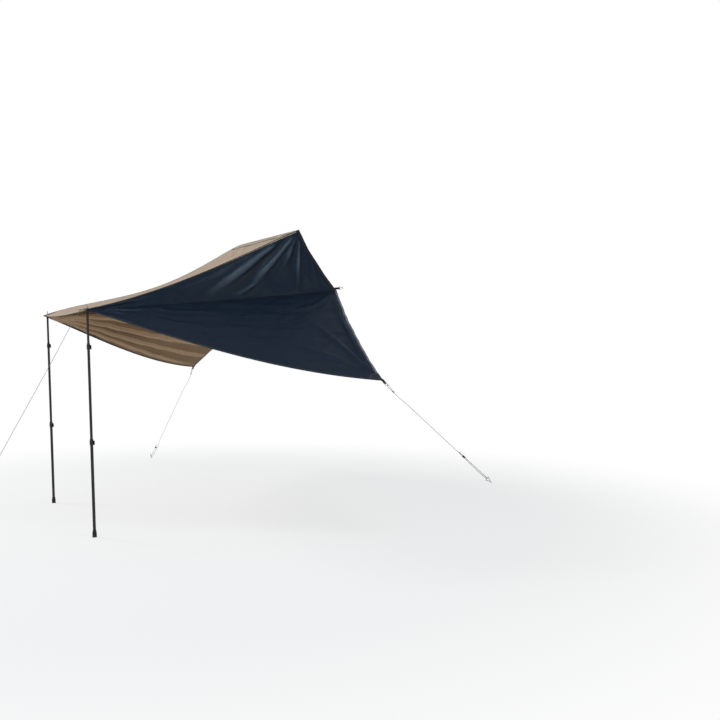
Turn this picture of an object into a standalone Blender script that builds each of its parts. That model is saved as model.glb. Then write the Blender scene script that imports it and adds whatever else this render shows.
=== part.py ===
"""Awning canopy that hangs from a header edge and stretches out over two telescopic poles.

The origin is the middle of the header bead. X runs along the header, Y towards it from
the poles, Z up. The near side is +X. Sizes are in metres.
"""

import math

import bmesh
import bpy
import numpy as np
from mathutils import Matrix, Vector

# Canopy corners
HEADER_HALF_LENGTH = 0.760
SIDE_POINT_BACK = 0.410
SIDE_POINT_DROP = 0.570
POLE_CORNER_SPREAD = 0.950
POLE_CORNER_REACH = 2.055
POLE_CORNER_DROP = 0.808
LOW_CORNER_SPREAD = 2.330
LOW_CORNER_DROP = 1.385
GROUND_DROP = 2.710

# How far each edge hangs, and the two powers that lean its lowest point to one end
RIDGE_SAG = {"near": 0.065, "far": 0.127}
RIDGE_SKEW = {"near": (1.0, 1.5), "far": (2.0, 1.5)}
SEAM_SAG = {"near": 0.010, "far": 0.050}
SEAM_SKEW = {"near": (1.0, 1.0), "far": (1.5, 1.0)}
BOTTOM_SAG = {"near": 0.080, "far": 0.078}
BOTTOM_SKEW = {"near": (1.4, 1.0), "far": (1.5, 1.0)}
FRONT_SAG = 0.020
ROOF_SAG = 0.030
UPPER_SCALLOP = 0.011
LOWER_SCALLOP = 0.015

# Folds of each wing: the corner they fan from and how many there are, and how deep they are
FOLD_FANS = {
    ("near", "upper"): ("header", 4.0),
    ("near", "lower"): ("low", 2.0),
    ("far", "upper"): ("pole", 1.5),
    ("far", "lower"): ("pole", 2.5),
}
FOLD_DEPTH = {
    ("near", "upper"): 0.017,
    ("near", "lower"): 0.010,
    ("far", "upper"): 0.010,
    ("far", "lower"): 0.014,
}
FOLD_GROWTH_REACH = 0.900
CALM_CORNER = 0.180
CALM_FADE = 0.300
ROOF_FOLD_COUNT = 3
ROOF_FOLD_DEPTH = 0.006

# Cloth, webbing and seams
CLOTH_THICKNESS = 0.0016
HEM_THICKNESS = 0.003
HEM_WIDTH = 0.022
HEADER_BAND_WIDTH = 0.045
HEADER_BEAD_RADIUS = 0.0045
RIDGE_PIPING_RADIUS = 0.004
SEAM_PIPING_RADIUS = 0.003
UPPER_WING_NOSE = {"near": 0.120, "far": 0.150}
LOWER_WING_NOSE = 0.050
PATCH_THICKNESS = 0.002
POLE_PATCH_LENGTH = 0.130
CORNER_PATCH_LENGTH = 0.110
WEBBING_WIDTH = 0.020
WEBBING_THICKNESS = 0.0015
LAYER_GAP = 0.0006
PIPING_GAP = 0.0008
GAP = 0.0003

# Grommet at each pole
GROMMET_INSET = 0.040
GROMMET_HOLE_RADIUS = 0.0085
GROMMET_WALL = 0.001
GROMMET_FLANGE_RADIUS = 0.016
GROMMET_FLANGE_THICKNESS = 0.0012

# Telescopic pole, from the top tube down
POLE_FOOT_INSET = 0.050
UPPER_TUBE_RADIUS = 0.0095
MIDDLE_TUBE_RADIUS = 0.0110
LOWER_TUBE_RADIUS = 0.0125
TUBE_WALL = 0.0012
UPPER_TUBE_LENGTH = 0.860
LOWER_TUBE_LENGTH = 0.800
UPPER_REACH = 0.300
TUBE_OVERLAP = 0.080
TUBE_SEGMENTS = 16

# Pole cap with the spigot that passes through the grommet
SPIGOT_RADIUS = 0.0035
SPIGOT_LENGTH = 0.034
SPIGOT_NECK = 0.0065
CAP_CONE_LENGTH = 0.012
CAP_COLLAR_LENGTH = 0.006
CAP_PLUG_LENGTH = 0.026

# Rubber foot
FOOT_RADIUS = 0.019
FOOT_TOP_RADIUS = 0.0148
FOOT_HEIGHT = 0.060
FOOT_BASE = 0.012
FOOT_RIB_HEIGHT = 0.038
FOOT_RIB_WIDTH = 0.005
FOOT_RIB_DEPTH = 0.0014

# Clamp and its wrap-round lever
CLAMP_WALL = 0.003
CLAMP_SKIRT = 0.038
CLAMP_NECK = 0.014
CLAMP_SLOT = 0.0016
CLAMP_SLOT_ANGLE = -32.0
CLAMP_AZIMUTH = 60.0
EAR_THICKNESS = 0.004
EAR_TOP = 0.001
EAR_SPACING = 0.024
LEVER_PIN_RADIUS = 0.0020
LEVER_HUB_RADIUS = 0.0050
LEVER_HUB_CLEARANCE = 0.0008
LEVER_STANDOFF = 0.0007
LEVER_THICKNESS = 0.0034
LEVER_START_ANGLE = 4.0
LEVER_END_ANGLE = 128.0
LEVER_TIP_FLARE = 0.0022

# Ropes and what is on them
ROPE_RADIUS = 0.00175
ROPE_EYE_RADIUS = 0.0075
SPIGOT_EYE_RADIUS = 0.0095
ROPE_EYE_LENGTH = 0.060
ROPE_TAIL = 0.030
SPIGOT_LEAD = 0.052
SPIGOT_BEND_RADIUS = 0.018
RUNNER_HEIGHT = 0.240
RUNNER_LENGTH = 0.026
RUNNER_THICKNESS = 0.009
RUNNER_BORE_CLEARANCE = 0.00035
RUNNER_WALL = 0.0028
RING_WIRE_RADIUS = 0.002
RING_HALF_WIDTH = 0.013
RING_DEPTH = 0.024
RING_CORNER = 0.004
LOOP_REACH = 0.045
LOOP_INSET = 0.010
LOOP_LEAD = 0.018
LOOP_OUTER_LEG = 0.045
LOOP_INNER_LEG = 0.030
HOOK_WIRE_RADIUS = 0.0025
HOOK_EYE_HALF_WIDTH = 0.016
HOOK_EYE_LENGTH = 0.026
HOOK_SHANK = 0.050
HOOK_BEND_RADIUS = 0.011
HOOK_TIP = 0.010
PEG_RADIUS = 0.0035
PEG_DEPTH = 0.190
PEG_RISE = 0.036
PEG_BEND_RADIUS = 0.009
PEG_TIP = 0.012
PEG_LEAN = 24.0
PEG_LOOP_HEIGHT = 0.012

# Where each rope ends, and the height of the peg's hold there
NEAR_POLE_PEG = (1.000, -3.110, -GROUND_DROP + PEG_LOOP_HEIGHT)
FAR_CORNER_PEG = (-3.876, -0.103, -GROUND_DROP + PEG_LOOP_HEIGHT)
NEAR_CORNER_ANCHOR = (3.130, 0.423, -2.096)
EDGE_STRAP_PULL = (0.05, 1.0, 0.10)
EDGE_STRAP_LIFT = 0.024

SIGNS = {"near": 1.0, "far": -1.0}
UP = np.array([0.0, 0.0, 1.0])


def unit(vector):
    """The vector at length one."""
    vector = np.asarray(vector, dtype=float)
    return vector / np.linalg.norm(vector)


def lerp(start, end, share):
    """The value a share of the way from start to end."""
    return start + (end - start) * share


def hang(share):
    """A parabola that is 0 at both ends and 1 in the middle."""
    return 4.0 * share * (1.0 - share)


def edge_sag(depth, skew, share):
    """How far an edge hangs: its depth times a skewed curve that is 1 at its lowest point."""
    start_power, end_power = skew
    lowest = start_power / (start_power + end_power)
    share = min(max(share, 0.0), 1.0)
    return depth * (share / lowest) ** start_power * ((1.0 - share) / (1.0 - lowest)) ** end_power


def make_material(name, colour, roughness, metallic=0.0):
    """A Principled material of one colour."""
    material = bpy.data.materials.new(name)
    material.use_nodes = True
    shader = material.node_tree.nodes["Principled BSDF"]
    shader.inputs["Base Color"].default_value = (*colour, 1.0)
    shader.inputs["Roughness"].default_value = roughness
    shader.inputs["Metallic"].default_value = metallic
    material.diffuse_color = (*colour, 1.0)
    return material


def add_object(name, data, material, parent=None):
    """Link a named object with its material, under an optional parent."""
    item = bpy.data.objects.new(name, data)
    if not data.materials:
        data.materials.append(material)
    bpy.context.scene.collection.objects.link(item)
    item.parent = parent
    return item


def add_empty(name, matrix, parent=None):
    """An empty that carries moving pieces on its own axes."""
    empty = bpy.data.objects.new(name, None)
    empty.empty_display_size = 0.03
    bpy.context.scene.collection.objects.link(empty)
    empty.parent = parent
    empty.matrix_local = matrix
    return empty


def axes_matrix(place, along_x, along_y, along_z):
    """A placement whose columns are the three given directions."""
    matrix = Matrix.Identity(4)
    for column, direction in enumerate((along_x, along_y, along_z, place)):
        for row in range(3):
            matrix[row][column] = float(direction[row])
    return matrix


def mesh_from_faces(name, points, faces, smooth_angle=None):
    """A closed mesh with its faces turned outwards."""
    mesh = bpy.data.meshes.new(name)
    mesh.from_pydata([tuple(point) for point in points], [], faces)
    shape = bmesh.new()
    shape.from_mesh(mesh)
    bmesh.ops.recalc_face_normals(shape, faces=shape.faces)
    if shape.calc_volume(signed=True) < 0.0:
        bmesh.ops.reverse_faces(shape, faces=shape.faces)
    shape.to_mesh(mesh)
    shape.free()
    if smooth_angle is not None:
        mesh.shade_smooth()
        mesh.set_sharp_from_angle(angle=math.radians(smooth_angle))
    return mesh


def turned_mesh(name, profile, segments, closed=False):
    """A profile of radius and height turned about Z."""
    shape = bmesh.new()
    corners = [shape.verts.new((radius, 0.0, height)) for radius, height in profile]
    edges = [shape.edges.new(pair) for pair in zip(corners, corners[1:])]
    if closed:
        edges.append(shape.edges.new((corners[-1], corners[0])))
    bmesh.ops.spin(
        shape,
        geom=corners + edges,
        cent=(0.0, 0.0, 0.0),
        axis=(0.0, 0.0, 1.0),
        angle=math.tau,
        steps=segments,
        use_merge=True,
    )
    bmesh.ops.remove_doubles(shape, verts=shape.verts, dist=0.00001)
    bmesh.ops.recalc_face_normals(shape, faces=shape.faces)
    mesh = bpy.data.meshes.new(name)
    shape.to_mesh(mesh)
    shape.free()
    mesh.shade_smooth()
    mesh.set_sharp_from_angle(angle=math.radians(35.0))
    return mesh


def tube_mesh(name, radius, wall, top, length):
    """An open tube that runs down from a height."""
    profile = [
        (radius, top),
        (radius, top - length),
        (radius - wall, top - length),
        (radius - wall, top),
    ]
    return turned_mesh(name, profile, TUBE_SEGMENTS, closed=True)


def prism_mesh(name, outline, low, high):
    """An outline in XY made solid between two heights."""
    count = len(outline)
    points = [(x, y, low) for x, y in outline] + [(x, y, high) for x, y in outline]
    faces = [list(range(count)), list(range(count, 2 * count))]
    for index in range(count):
        following = (index + 1) % count
        faces.append([index, following, following + count, index + count])
    return mesh_from_faces(name, points, faces)


def cylinder_mesh(name, radius, low, high, centre=(0.0, 0.0), segments=16):
    """A round bar along Z between two heights."""
    outline = [
        (centre[0] + radius * math.cos(angle), centre[1] + radius * math.sin(angle))
        for angle in (math.tau * step / segments for step in range(segments))
    ]
    return prism_mesh(name, outline, low, high)


def combined_mesh(name, base, operations, smooth_angle=35.0):
    """The base mesh after a list of Boolean operations with other meshes."""
    target = bpy.data.objects.new(name, base)
    bpy.context.scene.collection.objects.link(target)
    tools = []
    for operation, tool_mesh in operations:
        tool = bpy.data.objects.new(tool_mesh.name, tool_mesh)
        tool.hide_render = True
        tool.display_type = "WIRE"
        bpy.context.scene.collection.objects.link(tool)
        modifier = target.modifiers.new(tool_mesh.name, "BOOLEAN")
        modifier.operation = operation
        modifier.object = tool
        tools.append(tool)
    bpy.context.view_layer.update()
    evaluated = target.evaluated_get(bpy.context.evaluated_depsgraph_get())
    result = bpy.data.meshes.new_from_object(evaluated)
    result.name = name
    for item in [target] + tools:
        bpy.data.objects.remove(item)
    result.shade_smooth()
    result.set_sharp_from_angle(angle=math.radians(smooth_angle))
    return result


def grid_solid(name, grid, outward, offset, thickness, material, holes=()):
    """A grid of points on a surface made into a closed sheet of even thickness."""
    rows, columns = grid.shape[:2]
    along, across = np.gradient(grid, axis=0), np.gradient(grid, axis=1)
    normals = np.cross(along, across)
    normals /= np.linalg.norm(normals, axis=2, keepdims=True)
    if normals.mean(axis=(0, 1)) @ outward < 0.0:
        normals = -normals
    anchor = grid[0, 0]
    upper = grid + normals * (offset + thickness / 2) - anchor
    lower = grid + normals * (offset - thickness / 2) - anchor
    points = list(upper.reshape(-1, 3)) + list(lower.reshape(-1, 3))
    count = rows * columns

    def number(row, column):
        return row * columns + column

    faces = []
    for row in range(rows - 1):
        for column in range(columns - 1):
            first, second = number(row, column), number(row + 1, column)
            third, fourth = number(row + 1, column + 1), number(row, column + 1)
            if np.linalg.norm(points[first] - points[third]) < np.linalg.norm(points[second] - points[fourth]):
                halves = ([first, second, third], [first, third, fourth])
            else:
                halves = ([second, third, fourth], [second, fourth, first])
            for half in halves:
                faces.append(half)
                faces.append([corner + count for corner in reversed(half)])
    rim = [number(row, 0) for row in range(rows)]
    rim += [number(rows - 1, column) for column in range(1, columns)]
    rim += [number(row, columns - 1) for row in range(rows - 2, -1, -1)]
    rim += [number(0, column) for column in range(columns - 2, 0, -1)]
    for index, corner in enumerate(rim):
        following = rim[(index + 1) % len(rim)]
        faces.append([corner, following, following + count, corner + count])
    mesh = mesh_from_faces(name, points, faces, smooth_angle=40.0)
    if holes:
        cuts = [("DIFFERENCE", hole_cutter(place - anchor, axis, radius)) for place, axis, radius in holes]
        mesh = combined_mesh(name, mesh, cuts, smooth_angle=40.0)
    item = add_object(name, mesh, material)
    item.location = anchor
    return item


def hole_cutter(place, axis, radius):
    """A round bar through a point, for a hole."""
    mesh = cylinder_mesh("hole", radius, -0.03, 0.03, segments=20)
    turn = Vector(axis).to_track_quat("Z", "Y").to_matrix().to_4x4()
    mesh.transform(Matrix.Translation(Vector(place)) @ turn)
    return mesh


def round_tube(name, points, radius, material, resolution=2, closed=False, tapers=None):
    """A tube of one radius along a list of points."""
    points = [np.asarray(point, dtype=float) for point in points]
    curve = bpy.data.curves.new(name, "CURVE")
    curve.dimensions = "3D"
    curve.bevel_depth = radius
    curve.bevel_resolution = resolution
    curve.use_fill_caps = not closed
    spline = curve.splines.new("POLY")
    spline.points.add(len(points) - 1)
    spline.use_cyclic_u = closed
    for index, point in enumerate(points):
        spline.points[index].co = (*(point - points[0]), 1.0)
        spline.points[index].radius = tapers[index] if tapers else 1.0
    item = add_object(name, curve, material)
    item.location = points[0]
    return item


def smooth_path(controls, steps):
    """Points on a Catmull-Rom curve through the control points."""
    controls = [np.asarray(control, dtype=float) for control in controls]
    padded = [2 * controls[0] - controls[1]] + controls + [2 * controls[-1] - controls[-2]]
    path = []
    for before, start, end, after in zip(padded, padded[1:], padded[2:], padded[3:]):
        for step in range(steps):
            share = step / steps
            path.append(
                0.5
                * (
                    2 * start
                    + (end - before) * share
                    + (2 * before - 5 * start + 4 * end - after) * share**2
                    + (3 * start - before - 3 * end + after) * share**3
                )
            )
    path.append(controls[-1])
    return path


def arc_points(centre, first, second, radius, start, end, steps):
    """Points on an arc in the plane of two directions, angles in degrees."""
    angles = np.radians(np.linspace(start, end, steps + 1))
    return [centre + radius * (first * math.cos(angle) + second * math.sin(angle)) for angle in angles]


def header_corner(side):
    return np.array([SIGNS[side] * HEADER_HALF_LENGTH, 0.0, 0.0])


def side_corner(side):
    return np.array([SIGNS[side] * HEADER_HALF_LENGTH, SIDE_POINT_BACK, -SIDE_POINT_DROP])


def pole_corner(side):
    return np.array([SIGNS[side] * POLE_CORNER_SPREAD, -POLE_CORNER_REACH, -POLE_CORNER_DROP])


def low_corner(side):
    return np.array([SIGNS[side] * LOW_CORNER_SPREAD, 0.0, -LOW_CORNER_DROP])


def ridge_point(side, share):
    """The fold between roof and wing, from the pole corner to the header."""
    point = lerp(pole_corner(side), header_corner(side), share)
    return point - UP * edge_sag(RIDGE_SAG[side], RIDGE_SKEW[side], share)


def seam_point(side, share):
    """The seam between a wing's two panels, from the pole corner to the side corner."""
    point = lerp(pole_corner(side), side_corner(side), share)
    return point - UP * edge_sag(SEAM_SAG[side], SEAM_SKEW[side], share)


def bottom_point(side, share):
    """A wing's bottom edge, from the pole corner to the low corner."""
    point = lerp(pole_corner(side), low_corner(side), share)
    return point - UP * edge_sag(BOTTOM_SAG[side], BOTTOM_SKEW[side], share)


def roof_surface(along, across):
    """The roof, from the front hem to the header and from the far ridge to the near one."""
    point = lerp(ridge_point("far", along), ridge_point("near", along), across)
    sag = FRONT_SAG * (1.0 - along) ** 2 + ROOF_SAG * hang(along)
    fold = ROOF_FOLD_DEPTH * math.sin(math.tau * ROOF_FOLD_COUNT * across) * hang(along)
    return point - UP * (sag + fold) * hang(across)


def wing_normal(side, part):
    """The outward direction of a wing panel's flat triangle."""
    tip = header_corner(side) if part == "upper" else low_corner(side)
    normal = unit(np.cross(side_corner(side) - pole_corner(side), tip - pole_corner(side)))
    return normal if normal[0] * SIGNS[side] > 0.0 else -normal


def fold_height(side, part, point, across):
    """How far the folds lift a wing panel off its flat triangle at a point."""
    origin_name, count = FOLD_FANS[side, part]
    tip = header_corner(side) if part == "upper" else low_corner(side)
    corners = {"header": tip, "low": tip, "pole": pole_corner(side)}
    origin = corners[origin_name]
    first = unit((tip if origin_name == "pole" else pole_corner(side)) - origin)
    last = unit(side_corner(side) - origin)
    reach = np.linalg.norm(point - origin)
    if reach < 0.001:
        return 0.0
    total = math.acos(float(np.clip(first @ last, -1.0, 1.0)))
    angle = math.acos(float(np.clip(first @ (point - origin) / reach, -1.0, 1.0)))
    growth = min(1.0, reach / FOLD_GROWTH_REACH)
    nearest = min(np.linalg.norm(point - corner) for corner in (tip, pole_corner(side), side_corner(side)))
    calm = float(np.clip((nearest - CALM_CORNER) / CALM_FADE, 0.0, 1.0)) ** 2
    rise = min(1.0, 1.6 * hang(across))
    window = rise * rise * (3.0 - 2.0 * rise)
    return FOLD_DEPTH[side, part] * growth * calm * window * math.sin(math.tau * count * angle / total)


def wing_surface(side, part):
    """The surface of one wing panel, from the pole corner to the free edge."""
    top_line, low_line = (ridge_point, seam_point) if part == "upper" else (seam_point, bottom_point)
    normal = wing_normal(side, part)

    def surface(along, across):
        point = lerp(top_line(side, along), low_line(side, along), across)
        return point + normal * fold_height(side, part, point, across)

    return surface


def share_from_edge(surface, edge, distance, lengthwise, other):
    """A surface parameter at a square distance in metres from one of its edges."""
    step = 0.001
    if lengthwise:
        span = surface(1.0, other) - surface(0.0, other)
        line = surface(float(edge), other + step) - surface(float(edge), other - step)
    else:
        span = surface(other, 1.0) - surface(other, 0.0)
        line = surface(other + step, float(edge)) - surface(other - step, float(edge))
    if np.linalg.norm(line) > 0.0001:
        line = unit(line)
        span = span - line * float(span @ line)
    share = distance / np.linalg.norm(span)
    return share if edge == 0 else 1.0 - share


def dense_start(count):
    """Shares from 0 to 1 that lie closer together at the start."""
    return np.linspace(0.0, 1.0, count + 1) ** 1.5


def dense_ends(count):
    """Shares from 0 to 1 that lie closer together at both ends."""
    shares = np.linspace(0.0, 1.0, count + 1)
    return 0.4 * shares + 0.3 * (1.0 - np.cos(math.pi * shares))


def surface_grid(surface, along_span, across_span, rows, columns, scallop=0.0):
    """Points on a surface between edges, each span two pairs of edge and distance in metres."""
    row_shares = np.linspace(0.0, 1.0, rows + 1) if isinstance(rows, int) else rows
    column_shares = np.linspace(0.0, 1.0, columns + 1) if isinstance(columns, int) else columns

    def along_at(pair, across):
        share = share_from_edge(surface, *pair, True, across)
        return share if pair[0] == 0 else share - scallop * hang(across)

    def across_at(pair, along):
        return share_from_edge(surface, *pair, False, along)

    grid = np.zeros((len(row_shares), len(column_shares), 3))
    for row, row_share in enumerate(row_shares):
        for column, column_share in enumerate(column_shares):
            across = column_share
            for _ in range(3):
                along = lerp(along_at(along_span[0], across), along_at(along_span[1], across), row_share)
                first, last = across_at(across_span[0], along), across_at(across_span[1], along)
                across = lerp(first, last, column_share)
            grid[row, column] = surface(along, across)
    return grid


def corner_grid(surface, along_edge, across_edge, insets, length, cells=5):
    """A quarter-round patch of points at one corner of a surface."""
    grid = np.zeros((cells + 1, cells + 1, 3))
    for row in range(cells + 1):
        for column in range(cells + 1):
            share = row / cells
            along_distance = insets[0] + length * share
            across_distance = insets[1] + length * math.sqrt(1.0 - 0.94 * share**2) * column / cells
            along = share_from_edge(surface, along_edge, along_distance, True, float(across_edge))
            across = share_from_edge(surface, across_edge, across_distance, False, along)
            grid[row, column] = surface(along, across)
    return grid


def surface_normal(surface, along, across, outward):
    """The unit normal of a surface at a point."""
    step = 0.002
    first = surface(along + step, across) - surface(along - step, across)
    second = surface(along, across + step) - surface(along, across - step)
    normal = unit(np.cross(first, second))
    return normal if normal @ outward > 0.0 else -normal


def grommet_place(side):
    """The centre of a pole's grommet on the roof's mid-surface, and the roof's normal there."""
    edge = 1 if side == "near" else 0
    along = share_from_edge(roof_surface, 0, GROMMET_INSET, True, float(edge))
    across = share_from_edge(roof_surface, edge, GROMMET_INSET, False, along)
    return roof_surface(along, across), surface_normal(roof_surface, along, across, UP)


def patch_offset():
    """The height of a patch's middle above the cloth's middle."""
    return HEM_THICKNESS / 2 + LAYER_GAP + PATCH_THICKNESS / 2


def patch_top():
    """The height of a patch's upper face above the cloth's middle."""
    return patch_offset() + PATCH_THICKNESS / 2


def grommet_middle():
    """The height of the middle of a grommet's hole above the cloth's middle."""
    top = patch_top() + LAYER_GAP + GROMMET_FLANGE_THICKNESS
    bottom = -CLOTH_THICKNESS / 2 - LAYER_GAP - GROMMET_FLANGE_THICKNESS
    return (top + bottom) / 2


def pole_pivot(side):
    """The point on a pole's axis that it tilts about."""
    place, normal = grommet_place(side)
    return place + normal * grommet_middle()


def pole_lean(side):
    """The angle between a pole and the vertical, its foot drawn in towards the header."""
    return math.atan2(POLE_FOOT_INSET, GROUND_DROP + pole_pivot(side)[2])


def pole_up(side):
    """The direction of a pole's axis, upwards."""
    lean = pole_lean(side)
    return np.array([0.0, -math.sin(lean), math.cos(lean)])


def build_roof(materials):
    """The roof panel, its hems and the header."""
    edge = RIDGE_PIPING_RADIUS + PIPING_GAP
    hole_radius = GROMMET_HOLE_RADIUS + GROMMET_WALL + LAYER_GAP
    holes = [(*grommet_place(side), hole_radius) for side in SIGNS]
    header_gap = HEADER_BEAD_RADIUS + GAP
    columns = dense_ends(18)
    sides = ((0, edge), (1, edge))
    length = ((0, HEM_WIDTH + LAYER_GAP), (1, header_gap))
    panel = surface_grid(roof_surface, length, sides, dense_start(18), columns)
    grid_solid("roof_panel", panel, UP, 0.0, CLOTH_THICKNESS, materials["tan_cloth"], holes)
    hem = surface_grid(roof_surface, ((0, 0.0), (0, HEM_WIDTH)), sides, 1, columns)
    grid_solid("front_hem", hem, UP, 0.0, HEM_THICKNESS, materials["tan_webbing"])
    band = surface_grid(roof_surface, ((1, HEADER_BAND_WIDTH), (1, header_gap)), sides, 2, columns)
    band_offset = CLOTH_THICKNESS / 2 + 2 * LAYER_GAP + WEBBING_THICKNESS / 2
    grid_solid("header_band", band, UP, band_offset, WEBBING_THICKNESS, materials["dark_webbing"])
    ends = [header_corner("far"), header_corner("near")]
    round_tube("header_bead", ends, HEADER_BEAD_RADIUS, materials["dark_webbing"])


def build_wing(side, materials):
    """One side's wing: two panels, their seams, hems and corner patch."""
    outer = np.array([SIGNS[side], 0.0, 0.6])
    upper, lower = wing_surface(side, "upper"), wing_surface(side, "lower")
    ridge = RIDGE_PIPING_RADIUS + PIPING_GAP
    seam = SEAM_PIPING_RADIUS + PIPING_GAP
    hem = HEM_WIDTH + 2 * LAYER_GAP
    upper_nose, nose = (0, UPPER_WING_NOSE[side]), (0, LOWER_WING_NOSE)
    cloth, webbing = materials["navy_cloth"], materials["navy_webbing"]
    grid = surface_grid(upper, (upper_nose, (1, hem)), ((0, ridge), (1, seam)), 20, 10, UPPER_SCALLOP)
    grid_solid(f"{side}_upper_wing", grid, outer, 0.0, CLOTH_THICKNESS, cloth)
    grid = surface_grid(lower, (nose, (1, hem)), ((0, seam), (1, hem)), 20, 11, LOWER_SCALLOP)
    grid_solid(f"{side}_lower_wing", grid, outer, 0.0, CLOTH_THICKNESS, cloth)
    grid = surface_grid(upper, ((1, HEM_WIDTH), (1, 0.0)), ((0, ridge), (1, seam)), 1, 12, UPPER_SCALLOP)
    grid_solid(f"{side}_upper_side_hem", grid, outer, 0.0, HEM_THICKNESS, webbing)
    grid = surface_grid(lower, ((1, HEM_WIDTH), (1, 0.0)), ((0, seam), (1, 0.0)), 1, 14, LOWER_SCALLOP)
    grid_solid(f"{side}_lower_side_hem", grid, outer, 0.0, HEM_THICKNESS, webbing)
    grid = surface_grid(lower, (nose, (1, hem)), ((1, HEM_WIDTH), (1, 0.0)), 20, 1, LOWER_SCALLOP)
    grid_solid(f"{side}_bottom_hem", grid, outer, 0.0, HEM_THICKNESS, webbing)
    ridge_path = [ridge_point(side, share) for share in np.linspace(0.004, 0.994, 24)]
    round_tube(f"{side}_ridge_piping", ridge_path, RIDGE_PIPING_RADIUS, materials["tan_webbing"])
    seam_path = [seam_point(side, share) for share in np.linspace(0.035, 0.998, 18)]
    round_tube(f"{side}_seam_piping", seam_path, SEAM_PIPING_RADIUS, webbing)
    patch = corner_grid(lower, 1, 1, (0.001, 0.001), CORNER_PATCH_LENGTH)
    grid_solid(f"{side}_corner_patch", patch, outer, patch_offset(), PATCH_THICKNESS, webbing)


def build_grommet(side, materials):
    """The reinforcing patch and the brass grommet at a pole."""
    place, normal = grommet_place(side)
    barrel = GROMMET_HOLE_RADIUS + GROMMET_WALL
    hole = (place, normal, barrel + LAYER_GAP)
    insets = (0.001, RIDGE_PIPING_RADIUS + PIPING_GAP)
    patch = corner_grid(roof_surface, 0, 1 if side == "near" else 0, insets, POLE_PATCH_LENGTH)
    grid_solid(
        f"{side}_pole_patch", patch, UP, patch_offset(), PATCH_THICKNESS, materials["dark_webbing"], [hole]
    )
    top = patch_top() + LAYER_GAP
    bottom = -CLOTH_THICKNESS / 2 - LAYER_GAP
    profile = [
        (GROMMET_HOLE_RADIUS, top + GROMMET_FLANGE_THICKNESS),
        (GROMMET_FLANGE_RADIUS - 0.0004, top + GROMMET_FLANGE_THICKNESS),
        (GROMMET_FLANGE_RADIUS, top),
        (barrel, top),
        (barrel, bottom),
        (GROMMET_FLANGE_RADIUS, bottom),
        (GROMMET_FLANGE_RADIUS - 0.0004, bottom - GROMMET_FLANGE_THICKNESS),
        (GROMMET_HOLE_RADIUS, bottom - GROMMET_FLANGE_THICKNESS),
    ]
    mesh = turned_mesh(f"{side}_grommet", profile, 18, closed=True)
    item = add_object(f"{side}_grommet", mesh, materials["brass"])
    item.location = place
    item.rotation_mode = "QUATERNION"
    item.rotation_quaternion = Vector(normal).to_track_quat("Z", "Y")


def cap_mesh():
    """The pole cap: plug, cone and spigot."""
    cone_end = -SPIGOT_NECK - CAP_CONE_LENGTH
    collar_end = cone_end - CAP_COLLAR_LENGTH
    plug_radius = UPPER_TUBE_RADIUS - TUBE_WALL - GAP
    profile = [
        (0.0, SPIGOT_LENGTH),
        (SPIGOT_RADIUS * 0.6, SPIGOT_LENGTH),
        (SPIGOT_RADIUS, SPIGOT_LENGTH - 0.0025),
        (SPIGOT_RADIUS, -SPIGOT_NECK),
        (UPPER_TUBE_RADIUS, cone_end),
        (UPPER_TUBE_RADIUS, collar_end),
        (plug_radius, collar_end),
        (plug_radius, collar_end - CAP_PLUG_LENGTH),
        (plug_radius - 0.0015, collar_end - CAP_PLUG_LENGTH - 0.002),
        (0.0, collar_end - CAP_PLUG_LENGTH - 0.002),
    ]
    return turned_mesh("pole_cap", profile, TUBE_SEGMENTS)


def foot_mesh():
    """The rubber foot, its sole at height zero."""
    bore = LOWER_TUBE_RADIUS + GAP
    waist = lerp(FOOT_RADIUS, FOOT_TOP_RADIUS, 0.75)
    rib = waist + FOOT_RIB_DEPTH
    profile = [
        (0.0, 0.0),
        (FOOT_RADIUS - 0.002, 0.0),
        (FOOT_RADIUS, 0.003),
        (FOOT_RADIUS, 0.010),
        (lerp(FOOT_RADIUS, waist, 0.7), 0.020),
        (waist, FOOT_RIB_HEIGHT - 0.006),
        (waist, FOOT_RIB_HEIGHT - 0.001),
        (rib, FOOT_RIB_HEIGHT),
        (rib, FOOT_RIB_HEIGHT + FOOT_RIB_WIDTH),
        (waist, FOOT_RIB_HEIGHT + FOOT_RIB_WIDTH + 0.001),
        (FOOT_TOP_RADIUS, FOOT_HEIGHT),
        (bore, FOOT_HEIGHT),
        (bore, FOOT_BASE - GAP),
        (0.0, FOOT_BASE - GAP),
    ]
    return turned_mesh("pole_foot", profile, TUBE_SEGMENTS)


def clamp_radius(outer_radius):
    """The outer radius of the clamp on a tube."""
    return outer_radius + GAP + CLAMP_WALL


def lever_pin_distance(outer_radius):
    """The distance from the pole's axis to the lever's pin."""
    return clamp_radius(outer_radius) + LEVER_HUB_CLEARANCE + LEVER_HUB_RADIUS


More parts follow.
